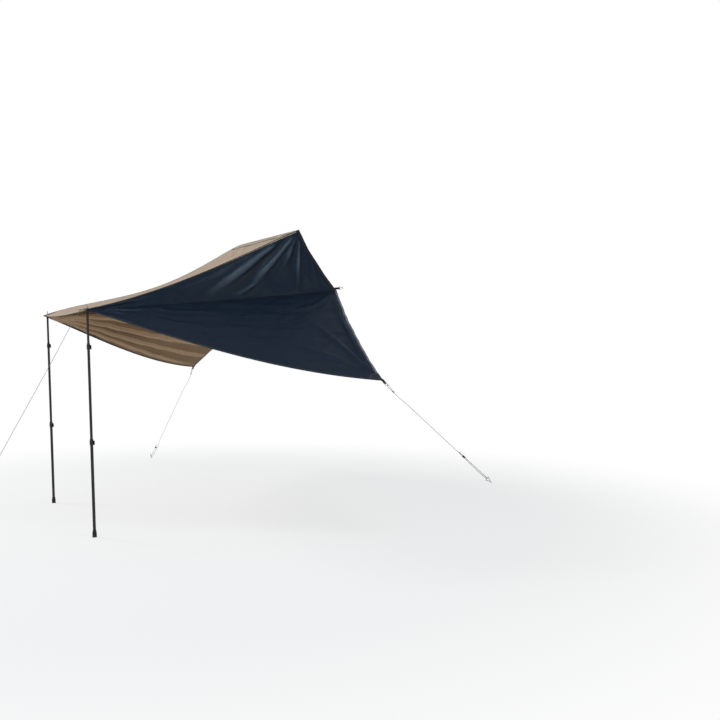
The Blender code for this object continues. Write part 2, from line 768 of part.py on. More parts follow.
def clamp_mesh(name, outer_radius, inner_radius):
    """The clamp body at the top end of a tube, its height zero at the tube's end."""
    body = clamp_radius(outer_radius)
    neck = inner_radius + GAP + CLAMP_WALL * 0.8
    profile = [
        (neck, CLAMP_NECK),
        (neck + 0.0006, CLAMP_NECK - 0.002),
        (body - 0.0008, 0.0045),
        (body, 0.0025),
        (body, -CLAMP_SKIRT + 0.001),
        (body - 0.001, -CLAMP_SKIRT),
        (outer_radius + GAP, -CLAMP_SKIRT),
        (outer_radius + GAP, GAP),
        (inner_radius + GAP, GAP),
        (inner_radius + GAP, CLAMP_NECK),
    ]
    collar = turned_mesh(name, profile, TUBE_SEGMENTS, closed=True)
    pin = lever_pin_distance(outer_radius)
    outline = [(body - 0.0012, -LEVER_HUB_RADIUS)]
    angles = np.radians(np.linspace(-90.0, 90.0, 9))
    outline += [(pin + LEVER_HUB_RADIUS * math.cos(a), LEVER_HUB_RADIUS * math.sin(a)) for a in angles]
    outline += [(body - 0.0012, LEVER_HUB_RADIUS)]
    upper_ear = prism_mesh("upper_ear", outline, -EAR_TOP - EAR_THICKNESS, -EAR_TOP)
    ear_drop = EAR_TOP + EAR_THICKNESS + EAR_SPACING
    lower_ear = prism_mesh("lower_ear", outline, -ear_drop - EAR_THICKNESS, -ear_drop)
    pin_low, pin_high = -ear_drop - EAR_THICKNESS - 0.001, -EAR_TOP + 0.001
    pin_bar = cylinder_mesh("lever_pin", LEVER_PIN_RADIUS, pin_low, pin_high, (pin, 0.0), 12)
    slot = prism_mesh(
        "slot",
        [(inner_radius - 0.002, -CLAMP_SLOT / 2), (body + 0.003, -CLAMP_SLOT / 2),
         (body + 0.003, CLAMP_SLOT / 2), (inner_radius - 0.002, CLAMP_SLOT / 2)],
        -CLAMP_SKIRT * 0.85,
        CLAMP_NECK + 0.003,
    )
    slot.transform(Matrix.Rotation(math.radians(CLAMP_SLOT_ANGLE), 4, "Z"))
    operations = [("UNION", upper_ear), ("UNION", lower_ear), ("UNION", pin_bar), ("DIFFERENCE", slot)]
    return combined_mesh(name, collar, operations)


def lever_mesh(name, outer_radius):
    """The lever wrapped round a clamp, its pin's axis at the origin."""
    body = clamp_radius(outer_radius)
    pin = lever_pin_distance(outer_radius)
    inner, outer = body + LEVER_STANDOFF, body + LEVER_STANDOFF + LEVER_THICKNESS
    angles = np.linspace(LEVER_START_ANGLE, LEVER_END_ANGLE, 13)
    flares = [LEVER_TIP_FLARE * max(0.0, (angle - 104.0) / 24.0) ** 2 for angle in angles]

    def rim_point(radius, angle):
        turn = math.radians(angle)
        return (radius * math.cos(turn) - pin, radius * math.sin(turn))

    outline = [rim_point(outer + flare, angle) for angle, flare in zip(angles, flares)]
    outline += [rim_point(inner + flare * 0.8, angle) for angle, flare in zip(angles[::-1], flares[::-1])]
    top = -EAR_TOP - EAR_THICKNESS - GAP
    bottom = top - EAR_SPACING + 2 * GAP
    arm = prism_mesh(name, outline, bottom, top)
    hub = cylinder_mesh("hub", LEVER_HUB_RADIUS, bottom, top, segments=20)
    bore = cylinder_mesh("bore", LEVER_PIN_RADIUS + GAP, bottom - 0.001, top + 0.001, segments=12)
    return combined_mesh(name, arm, [("UNION", hub), ("DIFFERENCE", bore)])


def middle_reach(side):
    """How far the lower clamp is below the upper one, for the pole to reach the ground."""
    length = (GROUND_DROP + pole_pivot(side)[2]) / pole_up(side)[2]
    return length - UPPER_REACH - LOWER_TUBE_LENGTH - FOOT_BASE


def build_pole(side, meshes, materials):
    """One telescopic pole, hung from its pivot on nested empties."""
    pivot = pole_pivot(side)
    pivot_matrix = Matrix.Translation(Vector(pivot)) @ Matrix.Rotation(pole_lean(side), 4, "X")
    top = add_empty(f"{side}_pole_pivot", pivot_matrix)
    add_object(f"{side}_pole_cap", meshes["cap"], materials["black_plastic"], top)
    add_object(f"{side}_upper_tube", meshes["upper_tube"], materials["black_metal"], top)
    middle = add_empty(f"{side}_middle_slide", Matrix.Translation((0.0, 0.0, -UPPER_REACH)), top)
    add_object(f"{side}_middle_tube", meshes["middle_tube"], materials["black_metal"], middle)
    low = add_empty(f"{side}_lower_slide", Matrix.Translation((0.0, 0.0, -middle_reach(side))), middle)
    add_object(f"{side}_lower_tube", meshes["lower_tube"], materials["black_metal"], low)
    foot = add_object(f"{side}_pole_foot", meshes["foot"], materials["rubber"], low)
    foot.location = (0.0, 0.0, -LOWER_TUBE_LENGTH - FOOT_BASE)
    turn = Matrix.Rotation(math.radians(CLAMP_AZIMUTH), 4, "Z")
    for part, carrier, radius in (("upper", middle, MIDDLE_TUBE_RADIUS), ("lower", low, LOWER_TUBE_RADIUS)):
        clamp = add_object(f"{side}_{part}_clamp", meshes[f"{part}_clamp"], materials["black_plastic"], carrier)
        clamp.rotation_euler = (0.0, 0.0, math.radians(CLAMP_AZIMUTH))
        pin = turn @ Matrix.Translation((lever_pin_distance(radius), 0.0, 0.0))
        axis = add_empty(f"{side}_{part}_lever_pin", pin, carrier)
        add_object(f"{side}_{part}_lever", meshes[f"{part}_lever"], materials["black_plastic"], axis)


def pole_meshes():
    """The meshes that both poles share."""
    collar_end = -SPIGOT_NECK - CAP_CONE_LENGTH - CAP_COLLAR_LENGTH - GAP
    middle_length = max(middle_reach(side) for side in SIGNS) + TUBE_OVERLAP
    return {
        "cap": cap_mesh(),
        "foot": foot_mesh(),
        "upper_tube": tube_mesh("upper_tube", UPPER_TUBE_RADIUS, TUBE_WALL, collar_end, UPPER_TUBE_LENGTH),
        "middle_tube": tube_mesh("middle_tube", MIDDLE_TUBE_RADIUS, TUBE_WALL, 0.0, middle_length),
        "lower_tube": tube_mesh("lower_tube", LOWER_TUBE_RADIUS, TUBE_WALL, 0.0, LOWER_TUBE_LENGTH),
        "upper_clamp": clamp_mesh("upper_clamp", MIDDLE_TUBE_RADIUS, UPPER_TUBE_RADIUS),
        "lower_clamp": clamp_mesh("lower_clamp", LOWER_TUBE_RADIUS, MIDDLE_TUBE_RADIUS),
        "upper_lever": lever_mesh("upper_lever", MIDDLE_TUBE_RADIUS),
        "lower_lever": lever_mesh("lower_lever", LOWER_TUBE_RADIUS),
    }


def ribbon_solid(name, path, width_axis, material):
    """A webbing strip along a path, its width along one fixed direction."""
    path = np.array(path)
    tangents = np.gradient(path, axis=0)
    tangents /= np.linalg.norm(tangents, axis=1, keepdims=True)
    normals = np.cross(tangents, width_axis)
    anchor = path[0]
    half_width = width_axis * WEBBING_WIDTH / 2
    points = []
    for place, normal in zip(path - anchor, normals):
        half_thickness = normal * WEBBING_THICKNESS / 2
        points += [
            place + half_width + half_thickness,
            place - half_width + half_thickness,
            place - half_width - half_thickness,
            place + half_width - half_thickness,
        ]
    faces = [[0, 1, 2, 3], [len(points) - 4 + corner for corner in range(4)]]
    for index in range(len(path) - 1):
        for corner in range(4):
            following = (corner + 1) % 4
            start = 4 * index
            faces.append([start + corner, start + following, start + 4 + following, start + 4 + corner])
    item = add_object(name, mesh_from_faces(name, points, faces, smooth_angle=40.0), material)
    item.location = anchor
    return item


def loop_axes(pull, normal):
    """The bar's direction and the webbing's run on the cloth, for a pull off a cloth corner."""
    bar = unit(np.cross(normal, pull))
    return bar, np.cross(bar, normal)


def surface_foot(surface, point, outward, along, across):
    """The point of a surface nearest to a place, and the surface's normal there."""
    step = 0.001
    for _ in range(4):
        base = surface(along, across)
        slopes = np.stack([surface(along + step, across) - base, surface(along, across + step) - base], axis=1)
        move = np.linalg.lstsq(slopes / step, point - base, rcond=None)[0]
        along, across = along + move[0], across + move[1]
    return surface(along, across), surface_normal(surface, along, across, outward)


def build_webbing_loop(name, surface, corner, across, pull, outward, bar_radius, material):
    """A webbing strap sewn over both faces of a cloth corner and wrapped round a bar."""
    pull = unit(pull)
    normal = surface_normal(surface, 0.99, across, outward)
    bar, run = loop_axes(pull, normal)
    centre = corner + pull * LOOP_REACH
    side = np.cross(bar, pull)
    if side @ normal < 0.0:
        side = -side
    wrap = bar_radius + GAP + WEBBING_THICKNESS / 2
    outer_height = patch_top() + 2 * LAYER_GAP + WEBBING_THICKNESS / 2
    inner_height = HEM_THICKNESS / 2 + 2 * LAYER_GAP + WEBBING_THICKNESS / 2

    def on_cloth(distance, height):
        foot, foot_normal = surface_foot(surface, corner - run * distance, outward, 0.99, across)
        return foot + foot_normal * height

    controls = [on_cloth(LOOP_OUTER_LEG * share, outer_height) for share in (1.0, 0.66, 0.33, -0.3)]
    controls += [centre - pull * LOOP_LEAD / 2 + side * (wrap + 0.0005)]
    controls += arc_points(centre, side, pull, wrap, 0.0, 180.0, 6)
    controls += [centre - pull * LOOP_LEAD / 2 - side * (wrap + 0.0005)]
    controls += [on_cloth(LOOP_INNER_LEG * share, -inner_height) for share in (-0.45, 0.33, 0.66, 1.0)]
    ribbon_solid(name, smooth_path(controls, 2), bar, material)
    return centre, bar


def build_ring(name, centre, bar, pull, material):
    """A D ring: straight bar in the webbing, round bow at the rope."""
    pull = unit(pull)
    radius = RING_HALF_WIDTH
    bow = centre + pull * (RING_DEPTH - radius)
    corner = centre + pull * RING_CORNER
    points = arc_points(bow, bar, pull, radius, 0.0, 180.0, 12)
    points += arc_points(corner - bar * (radius - RING_CORNER), -bar, -pull, RING_CORNER, 0.0, 90.0, 3)
    points += arc_points(corner + bar * (radius - RING_CORNER), -pull, bar, RING_CORNER, 0.0, 90.0, 3)
    round_tube(name, points, RING_WIRE_RADIUS, material, closed=True)
    return centre + pull * RING_DEPTH


def build_hook(name, centre, bar, pull, bend, material):
    """A bent wire hook: its eye's bar at the centre, its bend beyond along the pull."""
    pull = unit(pull)
    half, strand = HOOK_EYE_HALF_WIDTH, HOOK_WIRE_RADIUS + GAP

    def at(across, along):
        return centre + bar * across + pull * along

    points = [at(strand, HOOK_EYE_LENGTH + 0.006), at(strand, HOOK_EYE_LENGTH), at(half * 0.8, 0.014)]
    points += [at(half, 0.007), at(half - 0.001, 0.002), at(half - 0.005, 0.0)]
    points += [at(0.005 - half, 0.0), at(0.001 - half, 0.002), at(-half, 0.007)]
    points += [at(-half * 0.8, 0.014), at(-strand, HOOK_EYE_LENGTH), at(-strand, HOOK_EYE_LENGTH + 0.008)]
    points += [at(0.0, HOOK_EYE_LENGTH + 0.014)]
    turn = at(0.0, HOOK_SHANK) + bend * HOOK_BEND_RADIUS
    points += arc_points(turn, -bend, pull, HOOK_BEND_RADIUS, 0.0, 180.0, 9)
    points += [points[-1] - pull * HOOK_TIP + bend * 0.002]
    round_tube(name, points, HOOK_WIRE_RADIUS, material)


def build_peg(name, hold, inward, material):
    """A bent wire peg in the ground, its shaft through the rope's loop."""
    lean = math.radians(PEG_LEAN)
    shaft_up = UP * math.cos(lean) - inward * math.sin(lean)
    back = unit(-inward - shaft_up * float(-inward @ shaft_up))
    low = hold - shaft_up * (PEG_DEPTH + PEG_LOOP_HEIGHT)
    points = [low, low + shaft_up * 0.012, low + shaft_up * 0.10, hold, hold + shaft_up * PEG_RISE]
    points += arc_points(points[-1] + back * PEG_BEND_RADIUS, -back, shaft_up, PEG_BEND_RADIUS, 20.0, 180.0, 8)
    points += [points[-1] - shaft_up * PEG_TIP]
    tapers = [0.25] + [1.0] * (len(points) - 1)
    round_tube(name, points, PEG_RADIUS, material, tapers=tapers)


def rope_eye(centre, axis, side, radius):
    """A dead end and half turn round a bar, ending beside the start of the standing rope."""
    merge = centre + axis * ROPE_EYE_LENGTH + side * (radius - 2 * ROPE_RADIUS - GAP)
    controls = [merge + axis * 0.022, merge, centre + axis * 0.030 - side * radius * 0.35]
    controls += [centre + axis * 0.012 - side * radius * 0.95]
    return smooth_path(controls, 3) + arc_points(centre, -side, -axis, radius, 0.0, 180.0, 9)


def foot_loop(target, axis, side):
    """The turn round the far anchor and the return strand up past the runner."""
    tail = RUNNER_HEIGHT + RUNNER_LENGTH / 2 + ROPE_TAIL
    points = arc_points(target, side, axis, ROPE_EYE_RADIUS, 0.0, 180.0, 9)
    start = target - side * ROPE_EYE_RADIUS
    return points + [start - axis * tail * share for share in (0.25, 0.5, 0.75, 1.0)]


def build_runner(name, place, axis, side, mesh, material):
    """The line runner, with its two bores along the rope."""
    item = add_object(name, mesh, material)
    item.matrix_world = axes_matrix(place, side, np.cross(axis, side), axis)


def runner_mesh():
    """A stadium block with a bore for each strand of the rope."""
    bore = ROPE_RADIUS + RUNNER_BORE_CLEARANCE
    half_width = ROPE_EYE_RADIUS + bore + RUNNER_WALL
    round_radius = RUNNER_THICKNESS / 2
    outline = []
    for sign in (1.0, -1.0):
        for angle in np.radians(np.linspace(-90.0, 90.0, 7)):
            x = half_width - round_radius + round_radius * math.cos(angle)
            outline.append((sign * x, sign * round_radius * math.sin(angle)))
    half = RUNNER_LENGTH / 2
    block = prism_mesh("runner", outline, -half, half)
    bores = []
    for sign in (1.0, -1.0):
        centre = (sign * ROPE_EYE_RADIUS, 0.0)
        bores.append(("DIFFERENCE", cylinder_mesh("rope_bore", bore, -half - 0.001, half + 0.001, centre, 12)))
    return combined_mesh("runner", block, bores)


def build_guy(name, head, standing_start, target, foot_side, runner, materials):
    """One guy rope from its eye to its anchor, with its runner."""
    target = np.array(target)
    axis = unit(target - standing_start)
    for _ in range(3):
        side = unit(foot_side - axis * float(foot_side @ axis))
        axis = unit(target + side * ROPE_EYE_RADIUS - standing_start)
    run_end = target + side * ROPE_EYE_RADIUS
    shares = (0.0, 0.25, 0.5, 0.75)
    run = [lerp(standing_start, run_end, share) for share in shares]
    points = head + run[1:] + foot_loop(target, axis, side)
    round_tube(f"{name}_rope", points, ROPE_RADIUS, materials["rope"])
    place = target - axis * RUNNER_HEIGHT
    build_runner(f"{name}_runner", place, axis, side, runner, materials["black_plastic"])
    return axis, side


def build_corner_guy(side, target, runner, materials):
    """A low corner's webbing loop, ring and rope."""
    corner = low_corner(side)
    target = np.array(target)
    pull = unit(target - corner)
    surface, outward = wing_surface(side, "lower"), wing_normal(side, "lower")
    webbing = materials["dark_webbing"]
    across = share_from_edge(surface, 1, LOOP_INSET, False, 1.0)
    sewn = surface(share_from_edge(surface, 1, LOOP_INSET, True, across), across)
    centre, bar = build_webbing_loop(
        f"{side}_corner_loop", surface, sewn, across, pull, outward, RING_WIRE_RADIUS, webbing
    )
    bow = build_ring(f"{side}_corner_ring", centre, bar, pull, materials["steel"])
    rope_side = np.cross(bar, pull)
    eye = bow + pull * (ROPE_EYE_RADIUS - RING_WIRE_RADIUS - ROPE_RADIUS - GAP)
    head = rope_eye(eye, pull, rope_side, ROPE_EYE_RADIUS)
    level = unit(np.cross(pull, UP))
    return build_guy(f"{side}_corner", head, head[-1], target, level, runner, materials)


def build_pole_guy(side, target, runner, materials):
    """The rope whose eye sits on a pole's spigot, led over the canopy's corner."""
    target = np.array(target)
    pivot = pole_pivot(side)
    _, normal = grommet_place(side)
    up = pole_up(side)
    top = patch_top() + LAYER_GAP + GROMMET_FLANGE_THICKNESS + LAYER_GAP + ROPE_RADIUS
    eye = pivot + up * (top - grommet_middle()) / float(up @ normal)
    outward = target - pivot
    outward = unit(outward - UP * outward[2])
    outward = unit(outward - normal * float(outward @ normal))
    rope_side = np.cross(normal, outward)
    head = rope_eye(eye, outward, rope_side, SPIGOT_EYE_RADIUS)
    lead_end = head[-1] + outward * SPIGOT_LEAD
    down_line = unit(target - lead_end)
    turn = math.degrees(math.acos(float(np.clip(outward @ down_line, -1.0, 1.0))))
    bend_normal = unit(down_line - outward * float(down_line @ outward))
    centre = lead_end + bend_normal * SPIGOT_BEND_RADIUS
    bend = arc_points(centre, -bend_normal, outward, SPIGOT_BEND_RADIUS, 0.0, turn, 5)
    across = unit(np.cross(down_line, UP))
    points = head + [lerp(head[-1], lead_end, 0.5)] + bend
    return build_guy(f"{side}_pole", points, bend[-1], target, across, runner, materials)


def build_guys(materials):
    """The three guy ropes with their runners, pegs and hook."""
    runner = runner_mesh()
    build_pole_guy("near", NEAR_POLE_PEG, runner, materials)
    inward = unit(pole_pivot("near") * (1, 1, 0) - np.array(NEAR_POLE_PEG) * (1, 1, 0))
    build_peg("near_pole_peg", np.array(NEAR_POLE_PEG), inward, materials["steel"])
    build_corner_guy("far", FAR_CORNER_PEG, runner, materials)
    inward = unit(low_corner("far") * (1, 1, 0) - np.array(FAR_CORNER_PEG) * (1, 1, 0))
    build_peg("far_corner_peg", np.array(FAR_CORNER_PEG), inward, materials["steel"])
    axis, side = build_corner_guy("near", NEAR_CORNER_ANCHOR, runner, materials)
    bar = np.cross(axis, side)
    anchor = np.array(NEAR_CORNER_ANCHOR)
    hold = anchor + axis * (ROPE_EYE_RADIUS - ROPE_RADIUS - GAP - HOOK_WIRE_RADIUS)
    build_hook("near_corner_hook", hold, bar, axis, side, materials["steel"])


def build_edge_straps(materials):
    """The strap and hook that hold each side corner back."""
    for side in SIGNS:
        surface, normal = wing_surface(side, "upper"), wing_normal(side, "upper")
        across = share_from_edge(surface, 1, EDGE_STRAP_LIFT, False, 1.0)
        corner = surface(1.0, across)
        pull = unit(np.array(EDGE_STRAP_PULL) * (SIGNS[side], 1.0, 1.0))
        webbing = materials["dark_webbing"]
        centre, bar = build_webbing_loop(
            f"{side}_edge_strap", surface, corner, across, pull, normal, HOOK_WIRE_RADIUS, webbing
        )
        bend = np.cross(bar, pull)
        bend = bend if bend @ normal > 0.0 else -bend
        build_hook(f"{side}_edge_hook", centre, bar, pull, bend, materials["steel"])


def build_materials():
    """The materials of all the pieces."""
    return {
        "tan_cloth": make_material("tan_cloth", (0.58, 0.44, 0.33), 0.85),
        "navy_cloth": make_material("navy_cloth", (0.015, 0.022, 0.035), 0.80),
        "tan_webbing": make_material("tan_webbing", (0.50, 0.38, 0.28), 0.80),
        "navy_webbing": make_material("navy_webbing", (0.05, 0.06, 0.08), 0.75),
        "dark_webbing": make_material("dark_webbing", (0.02, 0.02, 0.022), 0.75),
        "brass": make_material("brass", (0.60, 0.45, 0.20), 0.35, 1.0),
        "steel": make_material("steel", (0.55, 0.55, 0.56), 0.30, 1.0),
        "black_metal": make_material("black_metal", (0.02, 0.02, 0.022), 0.35, 0.6),
        "black_plastic": make_material("black_plastic", (0.015, 0.015, 0.016), 0.50),
        "rubber": make_material("rubber", (0.012, 0.012, 0.012), 0.85),
        "rope": make_material("rope", (0.42, 0.41, 0.38), 0.90),
    }


def main():
    """Build the awning in an emptied scene."""
    for item in list(bpy.data.objects):
        bpy.data.objects.remove(item)
    materials = build_materials()
    build_roof(materials)
    meshes = pole_meshes()
    for side in SIGNS:
        build_wing(side, materials)
        build_grommet(side, materials)
        build_pole(side, meshes, materials)
    build_guys(materials)
    build_edge_straps(materials)


main()
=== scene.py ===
"""Tent awning: a stretched canopy with two folded wings, on telescopic poles and guy ropes.

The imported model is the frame. X runs along the header towards the near side, Y from the
poles towards the header, Z up, in metres, and the origin is the middle of the header bead.
"""

import math

import bmesh
import bpy
import numpy as np
from mathutils import Matrix, Vector


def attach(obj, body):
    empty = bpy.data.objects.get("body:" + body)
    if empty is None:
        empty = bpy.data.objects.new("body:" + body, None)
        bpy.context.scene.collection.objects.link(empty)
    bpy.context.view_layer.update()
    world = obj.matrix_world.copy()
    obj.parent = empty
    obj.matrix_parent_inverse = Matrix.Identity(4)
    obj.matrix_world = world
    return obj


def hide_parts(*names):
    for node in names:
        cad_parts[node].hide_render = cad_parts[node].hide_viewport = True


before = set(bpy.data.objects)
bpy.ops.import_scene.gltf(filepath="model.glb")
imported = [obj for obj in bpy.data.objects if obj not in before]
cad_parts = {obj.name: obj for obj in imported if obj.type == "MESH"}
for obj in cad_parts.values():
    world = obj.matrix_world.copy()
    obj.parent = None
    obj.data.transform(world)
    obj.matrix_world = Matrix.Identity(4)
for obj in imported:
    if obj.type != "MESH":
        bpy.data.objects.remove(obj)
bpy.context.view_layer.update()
bpy.ops.object.select_all(action="DESELECT")

# The canopy's corners on the near side, as the frame has them
HEADER_END = (0.760, 0.0, 0.0)
SIDE_POINT = (0.760, 0.410, -0.570)
POLE_CORNER = (0.950, -2.055, -0.808)
LOW_CORNER = (2.330, 0.0, -1.385)
GROUND = -2.7105
# Where each hanging edge ends, its greatest sag and how steeply the sag grows and ends
ENDS = {"ridge": HEADER_END, "seam": SIDE_POINT, "bottom": LOW_CORNER}
SAGS = {
    "ridge": {"near": (0.065, 1.0, 1.5), "far": (0.127, 2.0, 1.5)},
    "seam": {"near": (0.010, 1.0, 1.0), "far": (0.050, 1.5, 1.0)},
    "bottom": {"near": (0.080, 1.4, 1.0), "far": (0.078, 1.5, 1.0)},
}
# The edges on both sides of each wing panel and how far its free edge is cut in
PANELS = {"upper": ("ridge", "seam", 0.011), "lower": ("seam", "bottom", 0.015)}
FRONT_SAG, ROOF_SAG = 0.020, 0.030
SIGNS = {"near": 1.0, "far": -1.0}
UP = np.array([0.0, 0.0, 1.0])

# The grid of the canopy: its rows, its columns, and the first columns of seam and ridge
ROWS, WIDTH = 140, 348
SEAM, RIDGE = 84, 140
ROW_POWER = 1.35
CLOTH_THICKNESS = 0.0009
ROPE_RADIUS = 0.00175


def unit(vector):
    """A direction one metre long."""
    return vector / np.linalg.norm(vector)


def run_of(line):
    """The length of a line up to each of its points."""
    return np.concatenate([[0.0], np.cumsum(np.linalg.norm(np.diff(line, axis=0), axis=1))])


def shares_of(scale, *rows):
    """Rows of whole numbers as fractions of a scale."""
    return [tuple(number / scale for number in row) for row in rows]


def tenths(*rows):
    """Rows in tenths of a millimetre, as metres."""
    return shares_of(10000.0, *rows)


def add_object(name, data):
    """A new object in the scene."""
    holder = bpy.data.objects.new(name, data)
    bpy.context.scene.collection.objects.link(holder)
    return holder


# Materials


def operator(operation, swapped=False):
    """One kind of maths between a wire and another wire or a number."""

    def apply(wire, other=0.0):
        first, second = (other, wire) if swapped else (wire, other)
        node = wire.finish.node("ShaderNodeMath", {"operation": operation}, {0: first, 1: second})
        return Wire(wire.finish, node.outputs[0])

    return apply


class Wire:
    """A number that changes over a surface, written as a plain expression."""

    def __init__(self, finish, socket):
        self.finish, self.socket = finish, socket

    __add__ = __radd__ = operator("ADD")
    __mul__ = __rmul__ = operator("MULTIPLY")
    __sub__, __rsub__ = operator("SUBTRACT"), operator("SUBTRACT", swapped=True)
    __pow__, __mod__ = operator("POWER"), operator("FLOORED_MODULO")
    __abs__, sine, most = operator("ABSOLUTE"), operator("SINE"), operator("MAXIMUM")

    def step(self, low, high):
        """0 under low, 1 over high and smooth between them."""
        values = {"Value": self, "From Min": low, "From Max": high}
        node = self.finish.node("ShaderNodeMapRange", {"interpolation_type": "SMOOTHSTEP"}, values)
        return Wire(self.finish, node.outputs[0])


class Finish:
    """A material in the making."""

    def __init__(self, name, **constants):
        self.material = bpy.data.materials.new(name)
        self.material.use_nodes = True
        self.tree = self.material.node_tree
        self.shader = self.tree.nodes["Principled BSDF"]
        for socket, value in constants.items():
            self.shader.inputs[socket.replace("_", " ")].default_value = value

    def node(self, kind, settings=None, values=None):
        """Any node: its settings first, then the values or wires of its sockets."""
        node = self.tree.nodes.new(kind)
        for key, value in (settings or {}).items():
            setattr(node, key, value)
        for key, value in (values or {}).items():
            self.feed(node.inputs[key], value)
        return node

    def feed(self, socket, value):
        """Link a wire or a node's socket, or set the socket's own value."""
        value = value.socket if isinstance(value, Wire) else value
        if isinstance(value, bpy.types.NodeSocket):
            self.tree.links.new(value, socket)
        else:
            socket.default_value = value

    def place(self):
        """Where a point is on the whole object."""
        return self.node("ShaderNodeTexCoord").outputs["Object"]

    def flat_place(self):
        """Where a point is on the piece's own length and width, in metres."""
        return self.node("ShaderNodeUVMap").outputs[0]

    def number(self, vector, index):
        """One of a vector's three numbers."""
        return Wire(self, self.node("ShaderNodeSeparateXYZ", None, {"Vector": vector}).outputs[index])

    def noise(self, vector, scale, detail=2.0, roughness=0.5, distortion=0.0, stretch=None):
        """Soft noise around 0.5."""
        if stretch is not None:
            values = {0: vector, 1: stretch}
            vector = self.node("ShaderNodeVectorMath", {"operation": "MULTIPLY"}, values).outputs[0]
        values = {"Vector": vector, "Scale": scale, "Detail": detail, "Roughness": roughness}
        values["Distortion"] = distortion
        return Wire(self, self.node("ShaderNodeTexNoise", None, values).outputs[0])

    def coats(self, colour, *layers):
        """A colour under others, each mixed in by its own share."""
        for share, over in layers:
            node = self.node("ShaderNodeMix", {"data_type": "RGBA", "clamp_factor": True}, {"Factor": share})
            sockets = [item for item in node.inputs if item.type == "RGBA"]
            for socket, tone in zip(sockets, (colour, over)):
                self.feed(socket, (*tone, 1.0) if isinstance(tone, tuple) else tone)
            colour = [item for item in node.outputs if item.type == "RGBA"][0]
        return colour

    def bumps(self, *layers):
        """Bumps over one another: a height from 0 to 1, its distance in metres and its strength."""
        under = {}
        for layer in layers:
            values = dict(zip(("Height", "Distance", "Strength"), layer)) | under
            under = {"Normal": self.node("ShaderNodeBump", None, values).outputs[0]}
        return under["Normal"]

    def paint(self, colour, roughness, normal):
        """Feed the shader and hand over the material."""
        for name, value in (("Base Color", colour), ("Roughness", roughness), ("Normal", normal)):
            self.feed(self.shader.inputs[name], value)
        return self.material


def shade(colour, share):
    """A darker version of a colour."""
    return tuple(part * share for part in colour)


WHITE = (1.0, 1.0, 1.0, 1.0)
BLUE_SHINE = (0.62, 0.84, 1.0, 1.0)
THREAD_FINE, THREAD_LONG = 1.0 / 0.0011, 0.06 / 0.0011


def canopy_cloth(name, base, dusty, worn, roughness, sheen, shine, crest, hollow_painted_light):
    """Coated polyester: fine weave, soft creases from the stuff sack and patches of dust, with painted light
    on the folds' crests and hollows.
    """
    tint = BLUE_SHINE if max(base) < 0.1 else WHITE
    finish = Finish(name, Sheen_Weight=sheen, Sheen_Roughness=0.4, Specular_IOR_Level=shine)
    finish.shader.inputs["Specular Tint"].default_value = tint
    flat = finish.flat_place()
    cloudy = finish.noise(flat, 1.6, 4.0, 0.6)
    blotch = finish.noise(flat, 9.0, 3.0, 0.55, 0.4)
    streak = finish.noise(flat, 2.0, 3.0, 0.6, 0.6, stretch=(1.2, 14.0, 1.0))
    cells = {"Vector": flat, "Scale": 5.5, "Randomness": 1.0}
    cells = finish.node("ShaderNodeTexVoronoi", {"feature": "DISTANCE_TO_EDGE"}, cells).outputs[0]
    crease = (1.0 - Wire(finish, cells).step(0.0, 0.05)) * finish.noise(flat, 4.0, 1.0).step(0.52, 0.70)
    warp = finish.noise(flat, 1.0, 1.0, stretch=(THREAD_LONG, THREAD_FINE, 1.0))
    weave = warp.most(finish.noise(flat, 1.0, 1.0, stretch=(THREAD_FINE, THREAD_LONG, 1.0)))
    grain = finish.noise(flat, 900.0, 1.0)
    # The fold attribute paints light: painted highlights and painted shade on the crests and in the hollows,
    # and a painted warm reflection in the navy's hollows.
    fold = Wire(finish, finish.node("ShaderNodeAttribute", {"attribute_name": "fold"}).outputs["Fac"])
    colour = finish.coats(
        base, (cloudy.step(0.35, 0.75) * 0.55, dusty),
        (blotch.step(0.45, 0.80) * 0.30, worn), (crease * 0.35, worn),
        (fold.step(0.20, 1.0) * 0.75, crest), ((0.0 - fold).step(0.02, 0.35) * 0.60, hollow_painted_light),
        ((1.0 - weave) * 0.16 + grain * 0.10, shade(base, 0.35)),
    )
    normal = finish.bumps(
        (weave, 0.00006, 0.5), (finish.noise(flat, 26.0, 3.0, 0.6, 0.8), 0.0016, 0.35),
        (streak, 0.0040, 0.30), (crease, 0.0012, 0.35),
    )
    return finish.paint(colour, blotch * 0.10 + roughness + crease * 0.06 - weave * 0.04, normal)


RIB_PITCH, CROSS_PITCH, RIB_ROW = 0.0016, 0.0011, 0.005
STITCH_PITCH = 0.0036


